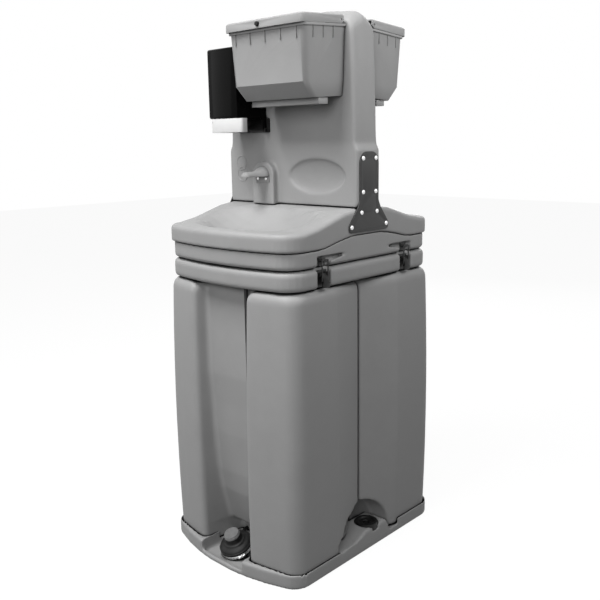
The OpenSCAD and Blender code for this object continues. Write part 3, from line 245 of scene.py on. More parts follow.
# Gloss black ABS cover: smooth and near black, with a faint ripple of the moulding
BLACK_ABS = Finish(
    "gloss_black_abs", "#060606", "#0a0a0a", patch_mm=50, roughness=0.09, rough_spread=0.03, grain_mm=14,
    grain_depth_mm=0.02, ior=1.12,
)
# Satin black nylon of plugs, locks and levers
BLACK_NYLON = Finish(
    "satin_black_nylon", "#101010", "#1a1a1a", patch_mm=12, roughness=0.42, ior=1.3, grain_mm=1.0,
    grain_depth_mm=0.03,
)
# White polypropylene push bar and bottle
WHITE_POLYPROPYLENE = Finish(
    "white_polypropylene", "#c4c4c4", "#bcbcbc", patch_mm=30, roughness=0.35, grain_mm=1.2,
    grain_depth_mm=0.02,
)
# Moulded black rubber of the pump's dome and the hoses, with painted shade darkening its creases
BLACK_RUBBER = Finish(
    "moulded_black_rubber", "#141414", "#262626", patch_mm=14, patch_share=0.8, roughness=0.5,
    rough_spread=0.12, grain_mm=1.1, grain_depth_mm=0.05, ior=1.28, seam_mm=6,
)
# Grey moulded caps, dulled by shoes and hands
GREY_CAP = Finish(
    "worn_grey_polypropylene", "#565656", "#6a6a6a", patch_mm=10, patch_share=0.9, roughness=0.55,
    grain_mm=1.3, grain_depth_mm=0.08,
)

FINISH_OF_SLOT = {
    "grey_polyethylene": GREY_POLYETHYLENE,
    "dark_steel": DARK_PLATE,
    "bright_steel": BRIGHT_ZINC,
    "latch_steel": LATCH_STEEL,
    "pale_plastic": PALE_POLYSTYRENE,
    "black_gloss": BLACK_ABS,
    "black_plastic": BLACK_NYLON,
    "white_plastic": WHITE_POLYPROPYLENE,
    "black_rubber": BLACK_RUBBER,
    "grey_cap": GREY_CAP,
}


# Modelling


def select_only(piece: bpy.types.Object) -> None:
    """Makes a piece the active object and the only one selected."""
    if bpy.context.object and bpy.context.object.mode != "OBJECT":
        bpy.ops.object.mode_set(mode="OBJECT")
    bpy.ops.object.select_all(action="DESELECT")
    piece.select_set(True)
    bpy.context.view_layer.objects.active = piece


def apply_all(piece: bpy.types.Object) -> None:
    """Applies every modifier of a piece, in order."""
    select_only(piece)
    for modifier in list(piece.modifiers):
        bpy.ops.object.modifier_apply(modifier=modifier.name)


def dress(piece: bpy.types.Object, nodes: Sequence[str], finish: Finish | None = None) -> bpy.types.Object:
    """Gives a piece its finish and body, and lets it stand for its CAD nodes.

    Args:
        piece: The finished piece.
        nodes: The CAD nodes that it stands for, all on one body.
        finish: Its finish, or none for that of the nodes' slot.

    Returns:
        The piece.
    """
    slot = SLOT_OF[nodes[0]]
    piece.data.materials.clear()
    piece.data.materials.append((finish or FINISH_OF_SLOT[slot]).material())
    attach(piece, BODY_OF[nodes[0]])
    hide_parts(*nodes)
    LOG.info("%s: %d faces, rides %s", piece.name, len(piece.data.polygons), BODY_OF[nodes[0]])
    return piece


def add_detail(piece: bpy.types.Object, body: str, slot: str) -> bpy.types.Object:
    """Gives a detail that stands for no node the finish of a material slot, and its body.

    Args:
        piece: The finished detail.
        body: The CAD body that it rides on.
        slot: The record's material slot, which gives the finish.

    Returns:
        The detail.
    """
    piece.data.materials.clear()
    piece.data.materials.append(FINISH_OF_SLOT[slot].material())
    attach(piece, body)
    LOG.info("%s: detail on %s", piece.name, body)
    return piece


def copy_of(node: str, name: str) -> bpy.types.Object:
    """Copies a CAD node's mesh into a new piece, with its loose triangles merged.

    Args:
        node: The CAD node.
        name: The piece's name.

    Returns:
        The new piece.
    """
    piece = bpy.data.objects.new(name, frame["nodes"][node].data.copy())
    piece.data.transform(frame["nodes"][node].matrix_world)
    bpy.context.scene.collection.objects.link(piece)
    select_only(piece)
    if piece.data.has_custom_normals:
        bpy.ops.mesh.customdata_custom_splitnormals_clear()
    bpy.ops.object.mode_set(mode="EDIT")
    bpy.ops.mesh.select_all(action="SELECT")
    bpy.ops.mesh.remove_doubles(threshold=WELD_MM * MM)
    bpy.ops.object.mode_set(mode="OBJECT")
    return piece


def soften(piece: bpy.types.Object, voxel_mm: float, passes: int) -> bpy.types.Object:
    """Rounds every edge of a piece, as a rotational moulding has it.

    Args:
        piece: The piece, closed.
        voxel_mm: Size of the new mesh's faces.
        passes: How often the mesh is smoothed.

    Returns:
        The piece.
    """
    remesh = piece.modifiers.new("moulded", "REMESH")
    remesh.mode = "VOXEL"
    remesh.voxel_size = voxel_mm * MM
    remesh.use_smooth_shade = True
    smooth = piece.modifiers.new("rounded", "SMOOTH")
    smooth.factor = 0.5
    smooth.iterations = passes
    apply_all(piece)
    bpy.ops.object.shade_smooth()
    return piece


def crisp(piece: bpy.types.Object, edge_mm: float, steps: int = 2) -> bpy.types.Object:
    """Bevels the sharp edges of a piece and smooths the rest.

    Args:
        piece: The piece.
        edge_mm: Width of the bevel.
        steps: Its segments.

    Returns:
        The piece.
    """
    select_only(piece)
    bpy.ops.object.mode_set(mode="EDIT")
    bpy.ops.mesh.select_all(action="SELECT")
    bpy.ops.mesh.dissolve_limited(angle_limit=math.radians(FLAT_DEGREES))
    bpy.ops.object.mode_set(mode="OBJECT")
    bevel = piece.modifiers.new("edges", "BEVEL")
    bevel.width = edge_mm * MM
    bevel.segments = steps
    bevel.limit_method = "ANGLE"
    bevel.angle_limit = math.radians(BEVEL_DEGREES)
    bevel.use_clamp_overlap = True
    apply_all(piece)
    bpy.ops.object.shade_smooth_by_angle(angle=math.radians(SMOOTH_DEGREES))
    return piece


def lathe(
    name: str, profile: Sequence[tuple[float, float]], place: Matrix, sides: int = 48, bored: bool = False
) -> bpy.types.Object:
    """Turns a round piece: a circle that is extruded and resized along its profile.

    Args:
        name: The piece's name.
        profile: Radius and height of each step in millimetres, from the foot up.
        place: Where the piece's axis, Z, goes.
        sides: Vertices round the piece.
        bored: True where the profile runs back to its first point, round a bore.

    Returns:
        The piece, with its place in its mesh.
    """
    bpy.ops.object.select_all(action="DESELECT")
    radius, height = profile[0]
    fill = "NOTHING" if bored else "NGON"
    bpy.ops.mesh.primitive_circle_add(vertices=sides, radius=radius * MM, fill_type=fill, location=(0, 0, 0))
    piece = bpy.context.object
    piece.name = name
    bpy.ops.object.mode_set(mode="EDIT")
    bpy.ops.mesh.select_mode(type="VERT")
    bpy.ops.mesh.select_all(action="SELECT")
    bpy.ops.transform.translate(value=(0, 0, height * MM))
    for next_radius, next_height in profile[1:]:
        bpy.ops.mesh.extrude_region_move(
            TRANSFORM_OT_translate={"value": (0, 0, (next_height - height) * MM)}
        )
        next_radius = max(next_radius, POLE_R_MM)
        share = next_radius / radius
        bpy.ops.transform.resize(value=(share, share, 1))
        radius, height = next_radius, next_height
    bpy.ops.mesh.select_all(action="SELECT")
    bpy.ops.mesh.remove_doubles(threshold=0.000001)
    bpy.ops.mesh.normals_make_consistent(inside=False)
    bpy.ops.object.mode_set(mode="OBJECT")
    piece.data.transform(place)
    select_only(piece)
    bpy.ops.object.shade_smooth_by_angle(angle=math.radians(TURNED_SMOOTH_DEGREES))
    return piece


def axis_place(point_mm: Sequence[float], axis: Sequence[float], spin: float = 0.0) -> Matrix:
    """Matrix that puts a turned piece's axis on a line.

    Args:
        point_mm: A point of the line in millimetres.
        axis: Its direction.
        spin: Turn about the axis in degrees.

    Returns:
        The matrix in metres.
    """
    turn = Vector((0, 0, 1)).rotation_difference(Vector(axis).normalized()).to_matrix().to_4x4()
    return Matrix.Translation(Vector(point_mm) * MM) @ turn @ Matrix.Rotation(math.radians(spin), 4, "Z")


def join(name: str, pieces: Iterable[bpy.types.Object]) -> bpy.types.Object:
    """Joins pieces into one with a name."""
    parts = list(pieces)
    bpy.ops.object.select_all(action="DESELECT")
    for part in parts:
        part.select_set(True)
    bpy.context.view_layer.objects.active = parts[0]
    if len(parts) > 1:
        bpy.ops.object.join()
    parts[0].name = name
    return parts[0]


def turned_rear(point: Sequence[float], side: Side) -> tuple[float, float, float]:
    """A point of the front half, or the same point turned by half a turn about Z."""
    sign = 1 if side is Side.FRONT else -1
    return (sign * point[0], sign * point[1], point[2])


# Sub-assemblies


@dataclass
class MouldedShells:
    """The rotomoulded shells, each softened from its solid: [node, face size, smoothing passes]."""

    shells: list[tuple[str, float, int]] = field(
        default_factory=lambda: [
            ("base_pallet", 4.0, 3),
            ("collar_ring", 3.6, 3),
            ("lower_pan", 3.6, 2),
            ("basin_deck", 3.6, 4),
            ("tower_shell", 3.6, 3),
        ]
    )
    tank_face_mm: float = 4.8
    tank_passes: int = 3
    drain: tuple[float, float, float] = (215.0, -70.0, 80.0)
    drain_turn: float = 16.66
    drain_stopper: tuple[tuple[float, float], ...] = ((20.6, -60.0), (20.6, -14.2))
    fill: tuple[float, float, float] = (0.0, -190.0, 0.0)
    fill_stopper: tuple[tuple[float, float], ...] = ((40.6, 770.0), (40.6, 794.0))
    sill_half: float = 80.4
    sill_front: float = -191.7
    sill_back: float = -150.0
    sill_levels: tuple[float, float, float] = (34.0, 51.0, 60.0)
    sill_lean: float = 14.1
    sill_corner: float = 11.0

    def build(self) -> None:
        """Builds and dresses every shell."""
        for node, face_mm, passes in self.shells:
            dress(soften(copy_of(node, f"{node}_moulding"), face_mm, passes), [node])
        for side in Side:
            node = f"{side.word}_tank"
            piece = join(f"{node}_moulding", [copy_of(node, f"{node}_moulding"), *self._stoppers(side)])
            dress(soften(piece, self.tank_face_mm, self.tank_passes), [node])

    def _stoppers(self, side: Side) -> list[bpy.types.Object]:
        """Closes a tank's openings, so that its new mesh is the outer skin alone."""
        turn = math.radians(self.drain_turn)
        drain_axis = turned_rear((math.cos(turn), math.sin(turn), 0.0), side)
        stoppers = [
            lathe("drain_stopper", self.drain_stopper, axis_place(turned_rear(self.drain, side), drain_axis)),
            self._sill(side),
        ]
        if side is Side.FRONT:
            stoppers.append(lathe("fill_stopper", self.fill_stopper, axis_place(self.fill, (0, 0, 1)), 64))
        return stoppers

    def _sill(self, side: Side) -> bpy.types.Object:
        """Closes the gap at the foot of a tank's recess, behind the pump."""
        low, mid, top = (level * MM for level in self.sill_levels)
        half, front, back = self.sill_half * MM, self.sill_front * MM, self.sill_back * MM
        bpy.ops.object.select_all(action="DESELECT")
        bpy.ops.mesh.primitive_cube_add(size=1)
        sill = bpy.context.object
        size = Matrix.Diagonal((2 * half, back - front, mid - low, 1))
        sill.data.transform(Matrix.Translation((0, (front + back) / 2, (low + mid) / 2)) @ size)
        near = SNAP_MM * MM
        self._pick(
            sill, "EDGE", lambda ends: all(co.y < front + near for co in ends) and ends[0].x == ends[1].x
        )
        bpy.ops.mesh.bevel(offset=self.sill_corner * MM, segments=2)
        self._pick(sill, "FACE", lambda ends: all(co.z > mid - near for co in ends))
        bpy.ops.mesh.extrude_region_move(TRANSFORM_OT_translate={"value": (0, 0, top - mid)})
        self._pick(sill, "VERT", lambda ends: ends[0].z > top - near and ends[0].y < (front + back) / 2)
        bpy.ops.transform.translate(value=(0, -self.sill_lean * MM, 0))
        bpy.ops.object.mode_set(mode="OBJECT")
        if side is Side.REAR:
            sill.data.transform(Matrix.Rotation(math.pi, 4, "Z"))
        return sill

    def _pick(self, piece: bpy.types.Object, kind: str, wanted: Callable[[list[Vector]], bool]) -> None:
        """Selects a piece's vertices, edges or faces by the places of their corners, in edit mode."""
        if piece.mode != "EDIT":
            select_only(piece)
            bpy.ops.object.mode_set(mode="EDIT")
        bpy.ops.mesh.select_mode(type=kind)
        bpy.ops.mesh.select_all(action="DESELECT")
        bpy.ops.object.mode_set(mode="OBJECT")
        mesh = piece.data
        rows = {"VERT": mesh.vertices, "EDGE": mesh.edges, "FACE": mesh.polygons}[kind]
        for row in rows:
            corners = [row.index] if kind == "VERT" else row.vertices
            row.select = wanted([mesh.vertices[v].co.copy() for v in corners])
        bpy.ops.object.mode_set(mode="EDIT")


@dataclass
class CrispParts:
    """Parts that keep the form of their solids, with bevelled edges: [node, edge width]."""

    parts: list[tuple[str, float]] = field(
        default_factory=lambda: [
            ("left_bracket", 0.7), ("right_bracket", 0.7),
            ("front_towel_box", 1.2), ("rear_towel_box", 1.2),
            ("front_towel_chute", 1.0), ("rear_towel_chute", 1.0),
            ("front_towel_lid", 1.5), ("rear_towel_lid", 1.5),
            ("front_lid_lock", 0.4), ("rear_lid_lock", 0.4),
            ("lid_hinge_pins", 0.3),
            ("front_soap_back", 0.8), ("rear_soap_back", 0.8),
            ("front_soap_bottle", 2.0), ("rear_soap_bottle", 2.0),
            ("front_soap_cover", 1.4), ("rear_soap_cover", 1.4),
            ("front_pump_body", 1.0), ("rear_pump_body", 1.0),
            ("front_suction_hose", 0.1), ("rear_suction_hose", 0.1),
            ("front_supply_hose", 0.1), ("rear_supply_hose", 0.1),
            ("drain_strainers", 0.6), ("drain_tails", 0.6),
            ("latch_catches", 0.5), ("latch_bases", 0.5),
            ("lever_front_right", 0.6), ("lever_rear_right", 0.6),
            ("lever_front_left", 0.6), ("lever_rear_left", 0.6),
        ]
    )
    dull: list[tuple[str, float]] = field(
        default_factory=lambda: [
            ("bail_front_right", 0.3), ("bail_rear_right", 0.3),
            ("bail_front_left", 0.3), ("bail_rear_left", 0.3),
        ]
    )

    def build(self) -> None:
        """Builds and dresses every part."""
        for node, edge_mm in self.parts:
            dress(crisp(copy_of(node, f"{node}_part"), edge_mm), [node])
        for node, edge_mm in self.dull:
            dress(crisp(copy_of(node, f"{node}_part"), edge_mm), [node], LATCH_STEEL)


@dataclass
class Fasteners:
    """Domed studs of the brackets and pan-head screws of the spouts, in millimetres."""

    face_x: float = 245.0
    studs: tuple[tuple[float, float], ...] = ((26.4, 1114.6), (26.4, 1027.7), (32.3, 974.6), (73.5, 938.8))
    stud_profile: tuple[tuple[float, float], ...] = (
        (3.0, -14.0), (3.0, 3.0), (6.0, 3.0), (6.0, 3.7), (5.6, 4.7), (4.6, 5.7), (3.0, 6.35), (1.4, 6.6),
        (0.0, 6.65),
    )
    screw_x: tuple[float, float] = (-100.5, -68.5)
    screw_y: float = -71.2
    screw_z: float = 1058.0
    screw_profile: tuple[tuple[float, float], ...] = (
        (2.0, -12.0), (2.0, 0.0), (4.2, 0.0), (4.2, 1.3), (3.6, 2.0), (2.4, 2.5), (1.6, 2.5), (1.4, 1.6),
        (0.0, 1.5),
    )

    def build(self) -> None:
        """Builds the studs and the screws."""
        heads = [
            lathe("stud", self.stud_profile, axis_place((s * self.face_x, t * y, z), (s, 0, 0)), 28)
            for s in (-1, 1)
            for t in (-1, 1)
            for y, z in self.studs
        ]
        dress(join("bracket_studs", heads), ["bracket_bolts"])
        height = self.screw_z
        screws = [
            lathe("screw", self.screw_profile, axis_place((x, s * -self.screw_y, height), (0, s, 0)), 24)
            for s in (-1, 1)
            for x in self.screw_x
        ]
        dress(join("spout_pan_screws", screws), ["spout_screws"])


@dataclass
class Spouts:
    """Each spout: a domed root that draws in to a flat neck, on its screwed plate, in millimetres."""

    centre: tuple[float, float, float] = (-84.5, -68.7, 1064.0)
    sections: tuple[tuple[float, float, float], ...] = (
        (27.0, 27.8, 0.0), (26.8, 27.4, 6.0), (25.6, 25.8, 11.0), (22.8, 22.4, 17.0), (19.2, 18.2, 24.0),
        (16.8, 15.4, 32.0), (15.6, 14.2, 42.0), (15.2, 14.0, 62.0), (14.2, 13.2, 69.0), (11.6, 10.8, 73.6),
        (7.4, 6.8, 75.6), (2.0, 1.8, 76.0),
    )
    plate: tuple[float, float, float] = (54.0, 2.5, 17.4)
    plate_lap: float = 0.4
    underside: float = 0.2
    body_edge: float = 1.2
    plate_edge: float = 0.8

    def build(self) -> None:
        """Builds both spouts."""
        for side in Side:
            sign = side.value
            body = self._body(sign)
            plate = self._plate(sign)
            dress(join(f"{side.word}_spout_moulding", [body, plate]), [f"{side.word}_spout"])

    def _body(self, sign: int) -> bpy.types.Object:
        """Draws the body out from the boss, and cuts its underside flat."""
        turn = Matrix.Rotation(math.radians(90 if sign < 0 else -90), 4, "X")
        x, y, z = self.centre
        place = Matrix.Translation(Vector((x, -sign * y, z)) * MM) @ turn
        bpy.ops.object.select_all(action="DESELECT")
        bpy.ops.mesh.primitive_circle_add(vertices=48, radius=MM, fill_type="NGON", location=(0, 0, 0))
        body = bpy.context.object
        bpy.ops.object.mode_set(mode="EDIT")
        bpy.ops.mesh.select_all(action="SELECT")
        wide, high, reach = self.sections[0]
        bpy.ops.transform.resize(value=(wide, high, 1))
        for next_wide, next_high, next_reach in self.sections[1:]:
            step = (0, 0, (next_reach - reach) * MM)
            bpy.ops.mesh.extrude_region_move(TRANSFORM_OT_translate={"value": step})
            bpy.ops.transform.resize(value=(next_wide / wide, next_high / high, 1))
            wide, high, reach = next_wide, next_high, next_reach
        bpy.ops.mesh.select_all(action="SELECT")
        bpy.ops.mesh.normals_make_consistent(inside=False)
        up = 1 if sign < 0 else -1
        bpy.ops.mesh.bisect(
            plane_co=(0, up * self.underside * MM, 0), plane_no=(0, up, 0), use_fill=True, clear_inner=True
        )
        bpy.ops.object.mode_set(mode="OBJECT")
        body.data.transform(place)
        return crisp(body, self.body_edge, 3)

    def _plate(self, sign: int) -> bpy.types.Object:
        """The screwed plate below the body."""
        wide, thick, high = self.plate
        x, y, z = self.centre
        bpy.ops.object.select_all(action="DESELECT")
        bpy.ops.mesh.primitive_cube_add(size=1)
        plate = bpy.context.object
        middle = Vector((x, sign * (abs(y) + thick / 2), z + self.plate_lap - high / 2)) * MM
        size = Matrix.Diagonal((wide * MM, thick * MM, high * MM, 1))
        plate.data.transform(Matrix.Translation(middle) @ size)
        return crisp(plate, self.plate_edge, 2)


@dataclass
class PushBars:
    """Each push bar: a pale lip across the front of a black tray, parted at the split, in millimetres."""

    split_y: float = -136.0
    tray_end_x: float = -121.0
    edge_mm: float = 1.4
    tray_edge_mm: float = 0.6

    def build(self) -> None:
        """Builds the lip and the tray of both bars."""
        for side in Side:
            node = f"{side.word}_push_bar"
            lip = self._half(node, f"{node}_lip", side.value, False)
            dress(crisp(lip, self.edge_mm, 3), [node])
            tray = self._half(node, f"{node}_tray", side.value, True)
            select_only(tray)
            bpy.ops.object.mode_set(mode="EDIT")
            bpy.ops.mesh.select_all(action="SELECT")
            bpy.ops.mesh.bisect(
                plane_co=(self.tray_end_x * MM, 0, 0), plane_no=(1, 0, 0), use_fill=True, clear_outer=True
            )
            bpy.ops.object.mode_set(mode="OBJECT")
            dress(crisp(tray, self.tray_edge_mm), [node], BLACK_NYLON)

    def _half(self, node: str, name: str, sign: int, inner: bool) -> bpy.types.Object:
        """Cuts the bar's copy at the split and keeps one half, closed."""
        half = copy_of(node, name)
        bpy.ops.object.mode_set(mode="EDIT")
        bpy.ops.mesh.select_all(action="SELECT")
        bpy.ops.mesh.bisect(
            plane_co=(0, -sign * self.split_y * MM, 0), plane_no=(0, sign, 0), use_fill=True,
            clear_outer=inner, clear_inner=not inner,
        )
        bpy.ops.object.mode_set(mode="OBJECT")
        return half


@dataclass
class TowerMarks:
    """Two plain raised rings on the tower, left of the spout: [x, z], in millimetres."""

    spots: tuple[tuple[float, float], ...] = ((-193.0, 1100.0), (-190.0, 1068.0))
    face: float = 48.2
    ring_r: float = 20.5
    wire_r: float = 2.0

    def build(self) -> None:
        """Builds the rings on the front and the rear face."""
        for side in Side:
            rings = []
            for x, z in self.spots:
                bpy.ops.object.select_all(action="DESELECT")
                bpy.ops.mesh.primitive_torus_add(
                    major_radius=self.ring_r * MM, minor_radius=self.wire_r * MM,
                    major_segments=48, minor_segments=12,
                    location=Vector((x, side.value * self.face, z)) * MM, rotation=(math.pi / 2, 0, 0),
                )
                ring = bpy.context.object
                bpy.ops.object.transform_apply(location=True, rotation=True, scale=True)
                bpy.ops.object.shade_smooth()
                rings.append(ring)
            add_detail(join(f"{side.word}_tower_rings", rings), "station", "grey_polyethylene")


@dataclass
class FootPumps:
    """The rubber dome and the foot cap of each pump, on its tilted axis, in millimetres."""

    centre: tuple[float, float, float] = (-8.0, -285.0, 34.5)
    tilt: float = 22.0
    height: float = 34.0
    travel: float = 26.0
    dome_profile: tuple[tuple[float, float], ...] = (
        (20.6, 0.0), (47.0, 0.0), (47.6, 0.8), (47.6, 3.2), (46.9, 4.2), (45.6, 4.6), (45.2, 5.4),
        (44.6, 7.2),
        (42.6, 9.4), (39.4, 11.4), (35.8, 13.2), (32.8, 14.8), (31.6, 16.0), (31.0, 17.8), (29.4, 19.0),
        (26.8, 19.8), (25.6, 21.0), (24.9, 24.0), (24.2, 30.0), (23.8, 34.0), (20.6, 34.0),
        (20.6, 0.0),
    )
    band_profile: tuple[tuple[float, float], ...] = (
        (43.1, -12.4), (46.6, -12.4), (47.1, -11.8), (47.1, -4.6), (46.6, -4.0), (43.1, -4.0),
        (43.1, -12.4),
    )
    band_middle: float = -8.0
    screw_angle: float = 332.0
    housing: tuple[float, float, float] = (5.0, 9.0, 8.6)
    housing_r: float = 47.6
    housing_edge: float = 1.0
    screw_r: float = 48.6
    screw_start: float = 9.5
    clamp_screw_profile: tuple[tuple[float, float], ...] = (
        (2.0, 0.0), (2.0, 14.0), (3.4, 14.0), (3.4, 18.4), (2.8, 19.4), (1.4, 19.4), (1.2, 18.0), (0.0, 18.0),
    )
    cap_profile: tuple[tuple[float, float], ...] = (
        (20.0, 18.0), (20.0, 34.3), (22.6, 34.3), (23.2, 34.9), (23.2, 38.6), (22.8, 39.3), (22.2, 39.5),
        (21.8, 40.0), (21.4, 43.2), (20.8, 44.1), (19.6, 44.3), (17.0, 44.0), (0.0, 44.0),
    )

    def build(self) -> None:
        """Builds the domes and the caps of both pumps."""
        lean = math.radians(self.tilt)
        clamps: list[bpy.types.Object] = []
        for side in Side:
            point = turned_rear(self.centre, side)
            axis = turned_rear((0.0, -math.sin(lean), math.cos(lean)), side)
            place = axis_place(point, axis)
            dome = lathe(f"{side.word}_pump_dome", self.dome_profile, place, 64, True)
            dress(dome, [f"{side.word}_pump_bellows"])
            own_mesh(dome)
            cap = lathe(f"{side.word}_pump_foot_cap", self.cap_profile, place, 56)
            dress(cap, [f"{side.word}_pump_cap"])
            clamps += self._clamp(place)
        dress(join("pump_band_clamps", clamps), ["pump_clamps"])

    def _clamp(self, place: Matrix) -> list[bpy.types.Object]:
        """Models one band clamp: the band, its screw housing, and the screw with its recessed head."""
        around = place @ Matrix.Rotation(math.radians(self.screw_angle), 4, "Z")
        band = lathe("band", self.band_profile, place, 72, True)
        bpy.ops.object.select_all(action="DESELECT")
        bpy.ops.mesh.primitive_cube_add(size=1)
        housing = bpy.context.object
        size = Matrix.Diagonal([v * MM for v in self.housing] + [1])
        middle = self.band_middle * MM
        housing.data.transform(around @ Matrix.Translation((self.housing_r * MM, 0, middle)) @ size)
        start = Matrix.Translation((self.screw_r * MM, self.screw_start * MM, middle))
        lie = start @ Matrix.Rotation(math.radians(90), 4, "X")
        screw = lathe("clamp_screw", self.clamp_screw_profile, around @ lie, 24)
        return [band, crisp(housing, self.housing_edge, 3), screw]


@dataclass
class RoundCaps:
    """The drain caps, the ballast plugs and the fill cap, in millimetres."""

    drain: tuple[float, float, float] = (215.0, -70.0, 80.0)
    drain_turn: float = 16.66
    drain_profile: tuple[tuple[float, float], ...] = (
        (20.3, -14.0), (31.6, -14.0), (33.0, -12.6), (33.0, -1.6), (31.6, 0.0), (27.0, 0.0), (26.0, -1.6),
        (15.0, -1.6), (14.0, 0.0), (0.0, 0.0),
    )
    grips: int = 8
    grip_at: tuple[float, float] = (33.0, -8.0)
    grip_size: tuple[float, float, float] = (3.8, 7.4, 11.4)
    grip_edge: float = 1.0
    plug: tuple[float, float, float] = (220.0, 26.0, 44.0)
    plug_profile: tuple[tuple[float, float], ...] = (
        (33.8, 0.0), (33.8, 18.0), (33.2, 20.0), (31.4, 21.0), (26.4, 21.0), (24.4, 20.2), (21.6, 16.4),
        (20.6, 16.0), (11.6, 16.0), (10.4, 15.2), (10.0, 14.0), (9.6, 8.2), (0.0, 8.0),
    )
    fill: tuple[float, float, float] = (0.0, -190.0, 782.0)
    fill_profile: tuple[tuple[float, float], ...] = (
        (39.9, 0.0), (39.9, 12.3), (44.0, 12.3), (44.0, 30.6), (42.6, 32.1), (0.0, 32.1),
    )

    def build(self) -> None:
        """Builds every cap and plug."""
        turn = math.radians(self.drain_turn)
        for side in Side:
            axis = turned_rear((math.cos(turn), math.sin(turn), 0.0), side)
            place = axis_place(turned_rear(self.drain, side), axis)
            parts = [lathe("cap", self.drain_profile, place, 48)]
            for k in range(self.grips):
                parts.append(self._grip(place @ Matrix.Rotation(2 * math.pi * k / self.grips, 4, "Z")))
            dress(join(f"{side.word}_drain_cap_grips", parts), [f"{side.word}_drain_cap"])
            word = "right" if side is Side.FRONT else "left"
            upright = axis_place(turned_rear(self.plug, side), (0, 0, 1))
            plug = lathe(f"{word}_ballast_plug", self.plug_profile, upright, 56)
            dress(plug, [f"{word}_base_plug"])
        fill = lathe("fill_cap_disc", self.fill_profile, axis_place(self.fill, (0, 0, 1)), 48)
        dress(fill, ["fresh_fill_cap"])

    def _grip(self, place: Matrix) -> bpy.types.Object:
        """One grip of a drain cap: a bar with rounded edges on its rim."""
        bpy.ops.object.select_all(action="DESELECT")
        bpy.ops.mesh.primitive_cube_add(size=1)
        grip = bpy.context.object
        out, along = self.grip_at
        size = Matrix.Diagonal([v * MM for v in self.grip_size] + [1])
        grip.data.transform(place @ Matrix.Translation((out * MM, 0, along * MM)) @ size)
        return crisp(grip, self.grip_edge, 2)


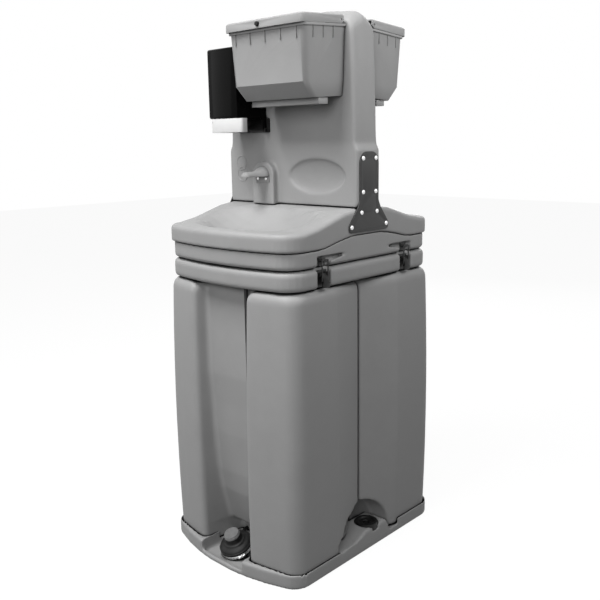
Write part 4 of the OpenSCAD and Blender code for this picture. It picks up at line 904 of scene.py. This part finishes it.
@dataclass
class Studio:
    """Floor, lights and the camera at the photograph's angle."""

    azimuth: float = 43.34
    elevation: float = 11.85
    roll: float = -0.87
    place_mm: tuple[float, float, float] = (1486.95, -1586.40, 1158.99)
    lens_mm: float = 45.24
    world_level: float = 0.08
    floor_level: float = 1.35
    floor_white: float = 0.7
    floor_size: float = 24.0
    sensor_mm: float = 36.0

    def build(self) -> None:
        """Builds the floor, the world, the lamps and the camera."""
        self._floor()
        self._world()
        self._lamp("left", (-2.6, -2.2, 1.6), (0, 0, 0.7), 2.0, 13)
        self._lamp("front", (1.6, -2.9, 1.9), (0, 0, 0.7), 1.6, 54)
        self._lamp("over", (-0.2, -1.6, 3.4), (0, -0.2, 0.8), 1.2, 124)
        self._lamp("high_right", (1.1, 0.3, 1.9), (0.1, 0, 1.3), 0.8, 12)
        self._lamp("behind", (-1.4, 3.4, 2.2), (0, 0, 0.8), 2.0, 40)
        self._camera()
        bpy.context.scene.view_settings.view_transform = "Standard"

    def _floor(self) -> None:
        """Adds the pale floor: white to the camera, with the object's shadow kept."""
        bpy.ops.object.select_all(action="DESELECT")
        bpy.ops.mesh.primitive_plane_add(size=self.floor_size, location=(0, 0, -MM))
        floor = bpy.context.object
        floor.name = "studio_floor"
        made = bpy.data.materials.new("pale_studio_floor")
        made.use_nodes = True
        tree = made.node_tree
        tree.nodes.clear()
        seen = self._seen(tree)
        lift_level = add_node(
            tree, "ShaderNodeMapRange", {"Value": seen, "To Min": 0.0, "To Max": self.floor_level}
        ).outputs[0]
        matt = add_node(tree, "ShaderNodeBsdfDiffuse", {"Color": linear("#8a8a8a")}).outputs[0]
        lift = add_node(
            tree, "ShaderNodeEmission", {"Color": linear("#ffffff"), "Strength": lift_level}
        ).outputs[0]
        both = add_node(tree, "ShaderNodeMixShader", {"Fac": self.floor_white, 1: matt, 2: lift}).outputs[0]
        add_node(tree, "ShaderNodeOutputMaterial", {"Surface": both})
        floor.data.materials.append(made)

    def _seen(self, tree: bpy.types.NodeTree) -> bpy.types.NodeSocket:
        """Tells whether a ray looks at the background, straight or in gloss or glass."""
        path = add_node(tree, "ShaderNodeLightPath", {}).outputs
        gloss = add_node(
            tree, "ShaderNodeMath", {0: path["Is Camera Ray"], 1: path["Is Glossy Ray"]}, operation="MAXIMUM"
        ).outputs[0]
        return add_node(
            tree, "ShaderNodeMath", {0: gloss, 1: path["Is Transmission Ray"]}, operation="MAXIMUM"
        ).outputs[0]

    def _world(self) -> None:
        """Lights the room evenly, and shows white to the camera and in reflections."""
        world = bpy.data.worlds.new("studio")
        bpy.context.scene.world = world
        world.use_nodes = True
        tree = world.node_tree
        tree.nodes.clear()
        level = add_node(
            tree, "ShaderNodeMapRange", {"Value": self._seen(tree), "To Min": self.world_level, "To Max": 1.0}
        ).outputs[0]
        light = add_node(
            tree, "ShaderNodeBackground", {"Color": linear("#ffffff"), "Strength": level}
        ).outputs[0]
        add_node(tree, "ShaderNodeOutputWorld", {"Surface": light})

    def _lamp(
        self,
        name: str,
        place: tuple[float, float, float],
        target: tuple[float, float, float],
        size: float,
        power: float,
    ) -> None:
        """Adds a square soft lamp that faces a target.

        Args:
            name: The lamp's name.
            place: Where it stands, in metres.
            target: The point that it faces.
            size: Its width in metres.
            power: Its power in watts.
        """
        data = bpy.data.lights.new(name, "AREA")
        data.shape = "SQUARE"
        data.size = size
        data.energy = power
        lamp = bpy.data.objects.new(name, data)
        bpy.context.scene.collection.objects.link(lamp)
        lamp.location = place
        lamp.visible_camera = False
        lamp.rotation_euler = (Vector(target) - Vector(place)).to_track_quat("-Z", "Y").to_euler()

    def _camera(self) -> None:
        """Adds the camera where the photograph was taken from."""
        a, e, r = (math.radians(v) for v in (self.azimuth, self.elevation, self.roll))
        back = Vector((math.sin(a) * math.cos(e), -math.cos(a) * math.cos(e), math.sin(e)))
        right = Vector((math.cos(a), math.sin(a), 0))
        up = back.cross(right)
        across = right * math.cos(r) + up * math.sin(r)
        above = up * math.cos(r) - right * math.sin(r)
        data = bpy.data.cameras.new("photo_camera")
        data.lens = self.lens_mm
        data.sensor_width = self.sensor_mm
        camera = bpy.data.objects.new("photo_camera", data)
        bpy.context.scene.collection.objects.link(camera)
        rows = Matrix((across, above, back)).transposed().to_4x4()
        camera.matrix_world = Matrix.Translation(Vector(self.place_mm) * MM) @ rows
        bpy.context.scene.camera = camera


def main() -> None:
    """Builds the station's sub-assemblies in order, and the studio round them."""
    logging.basicConfig(level=logging.INFO, format="%(name)s: %(message)s")
    Studio().build()
    MouldedShells().build()
    CrispParts().build()
    Fasteners().build()
    Spouts().build()
    PushBars().build()
    TowerMarks().build()
    FootPumps().build()
    RoundCaps().build()


if __name__ == "__main__":
    main()
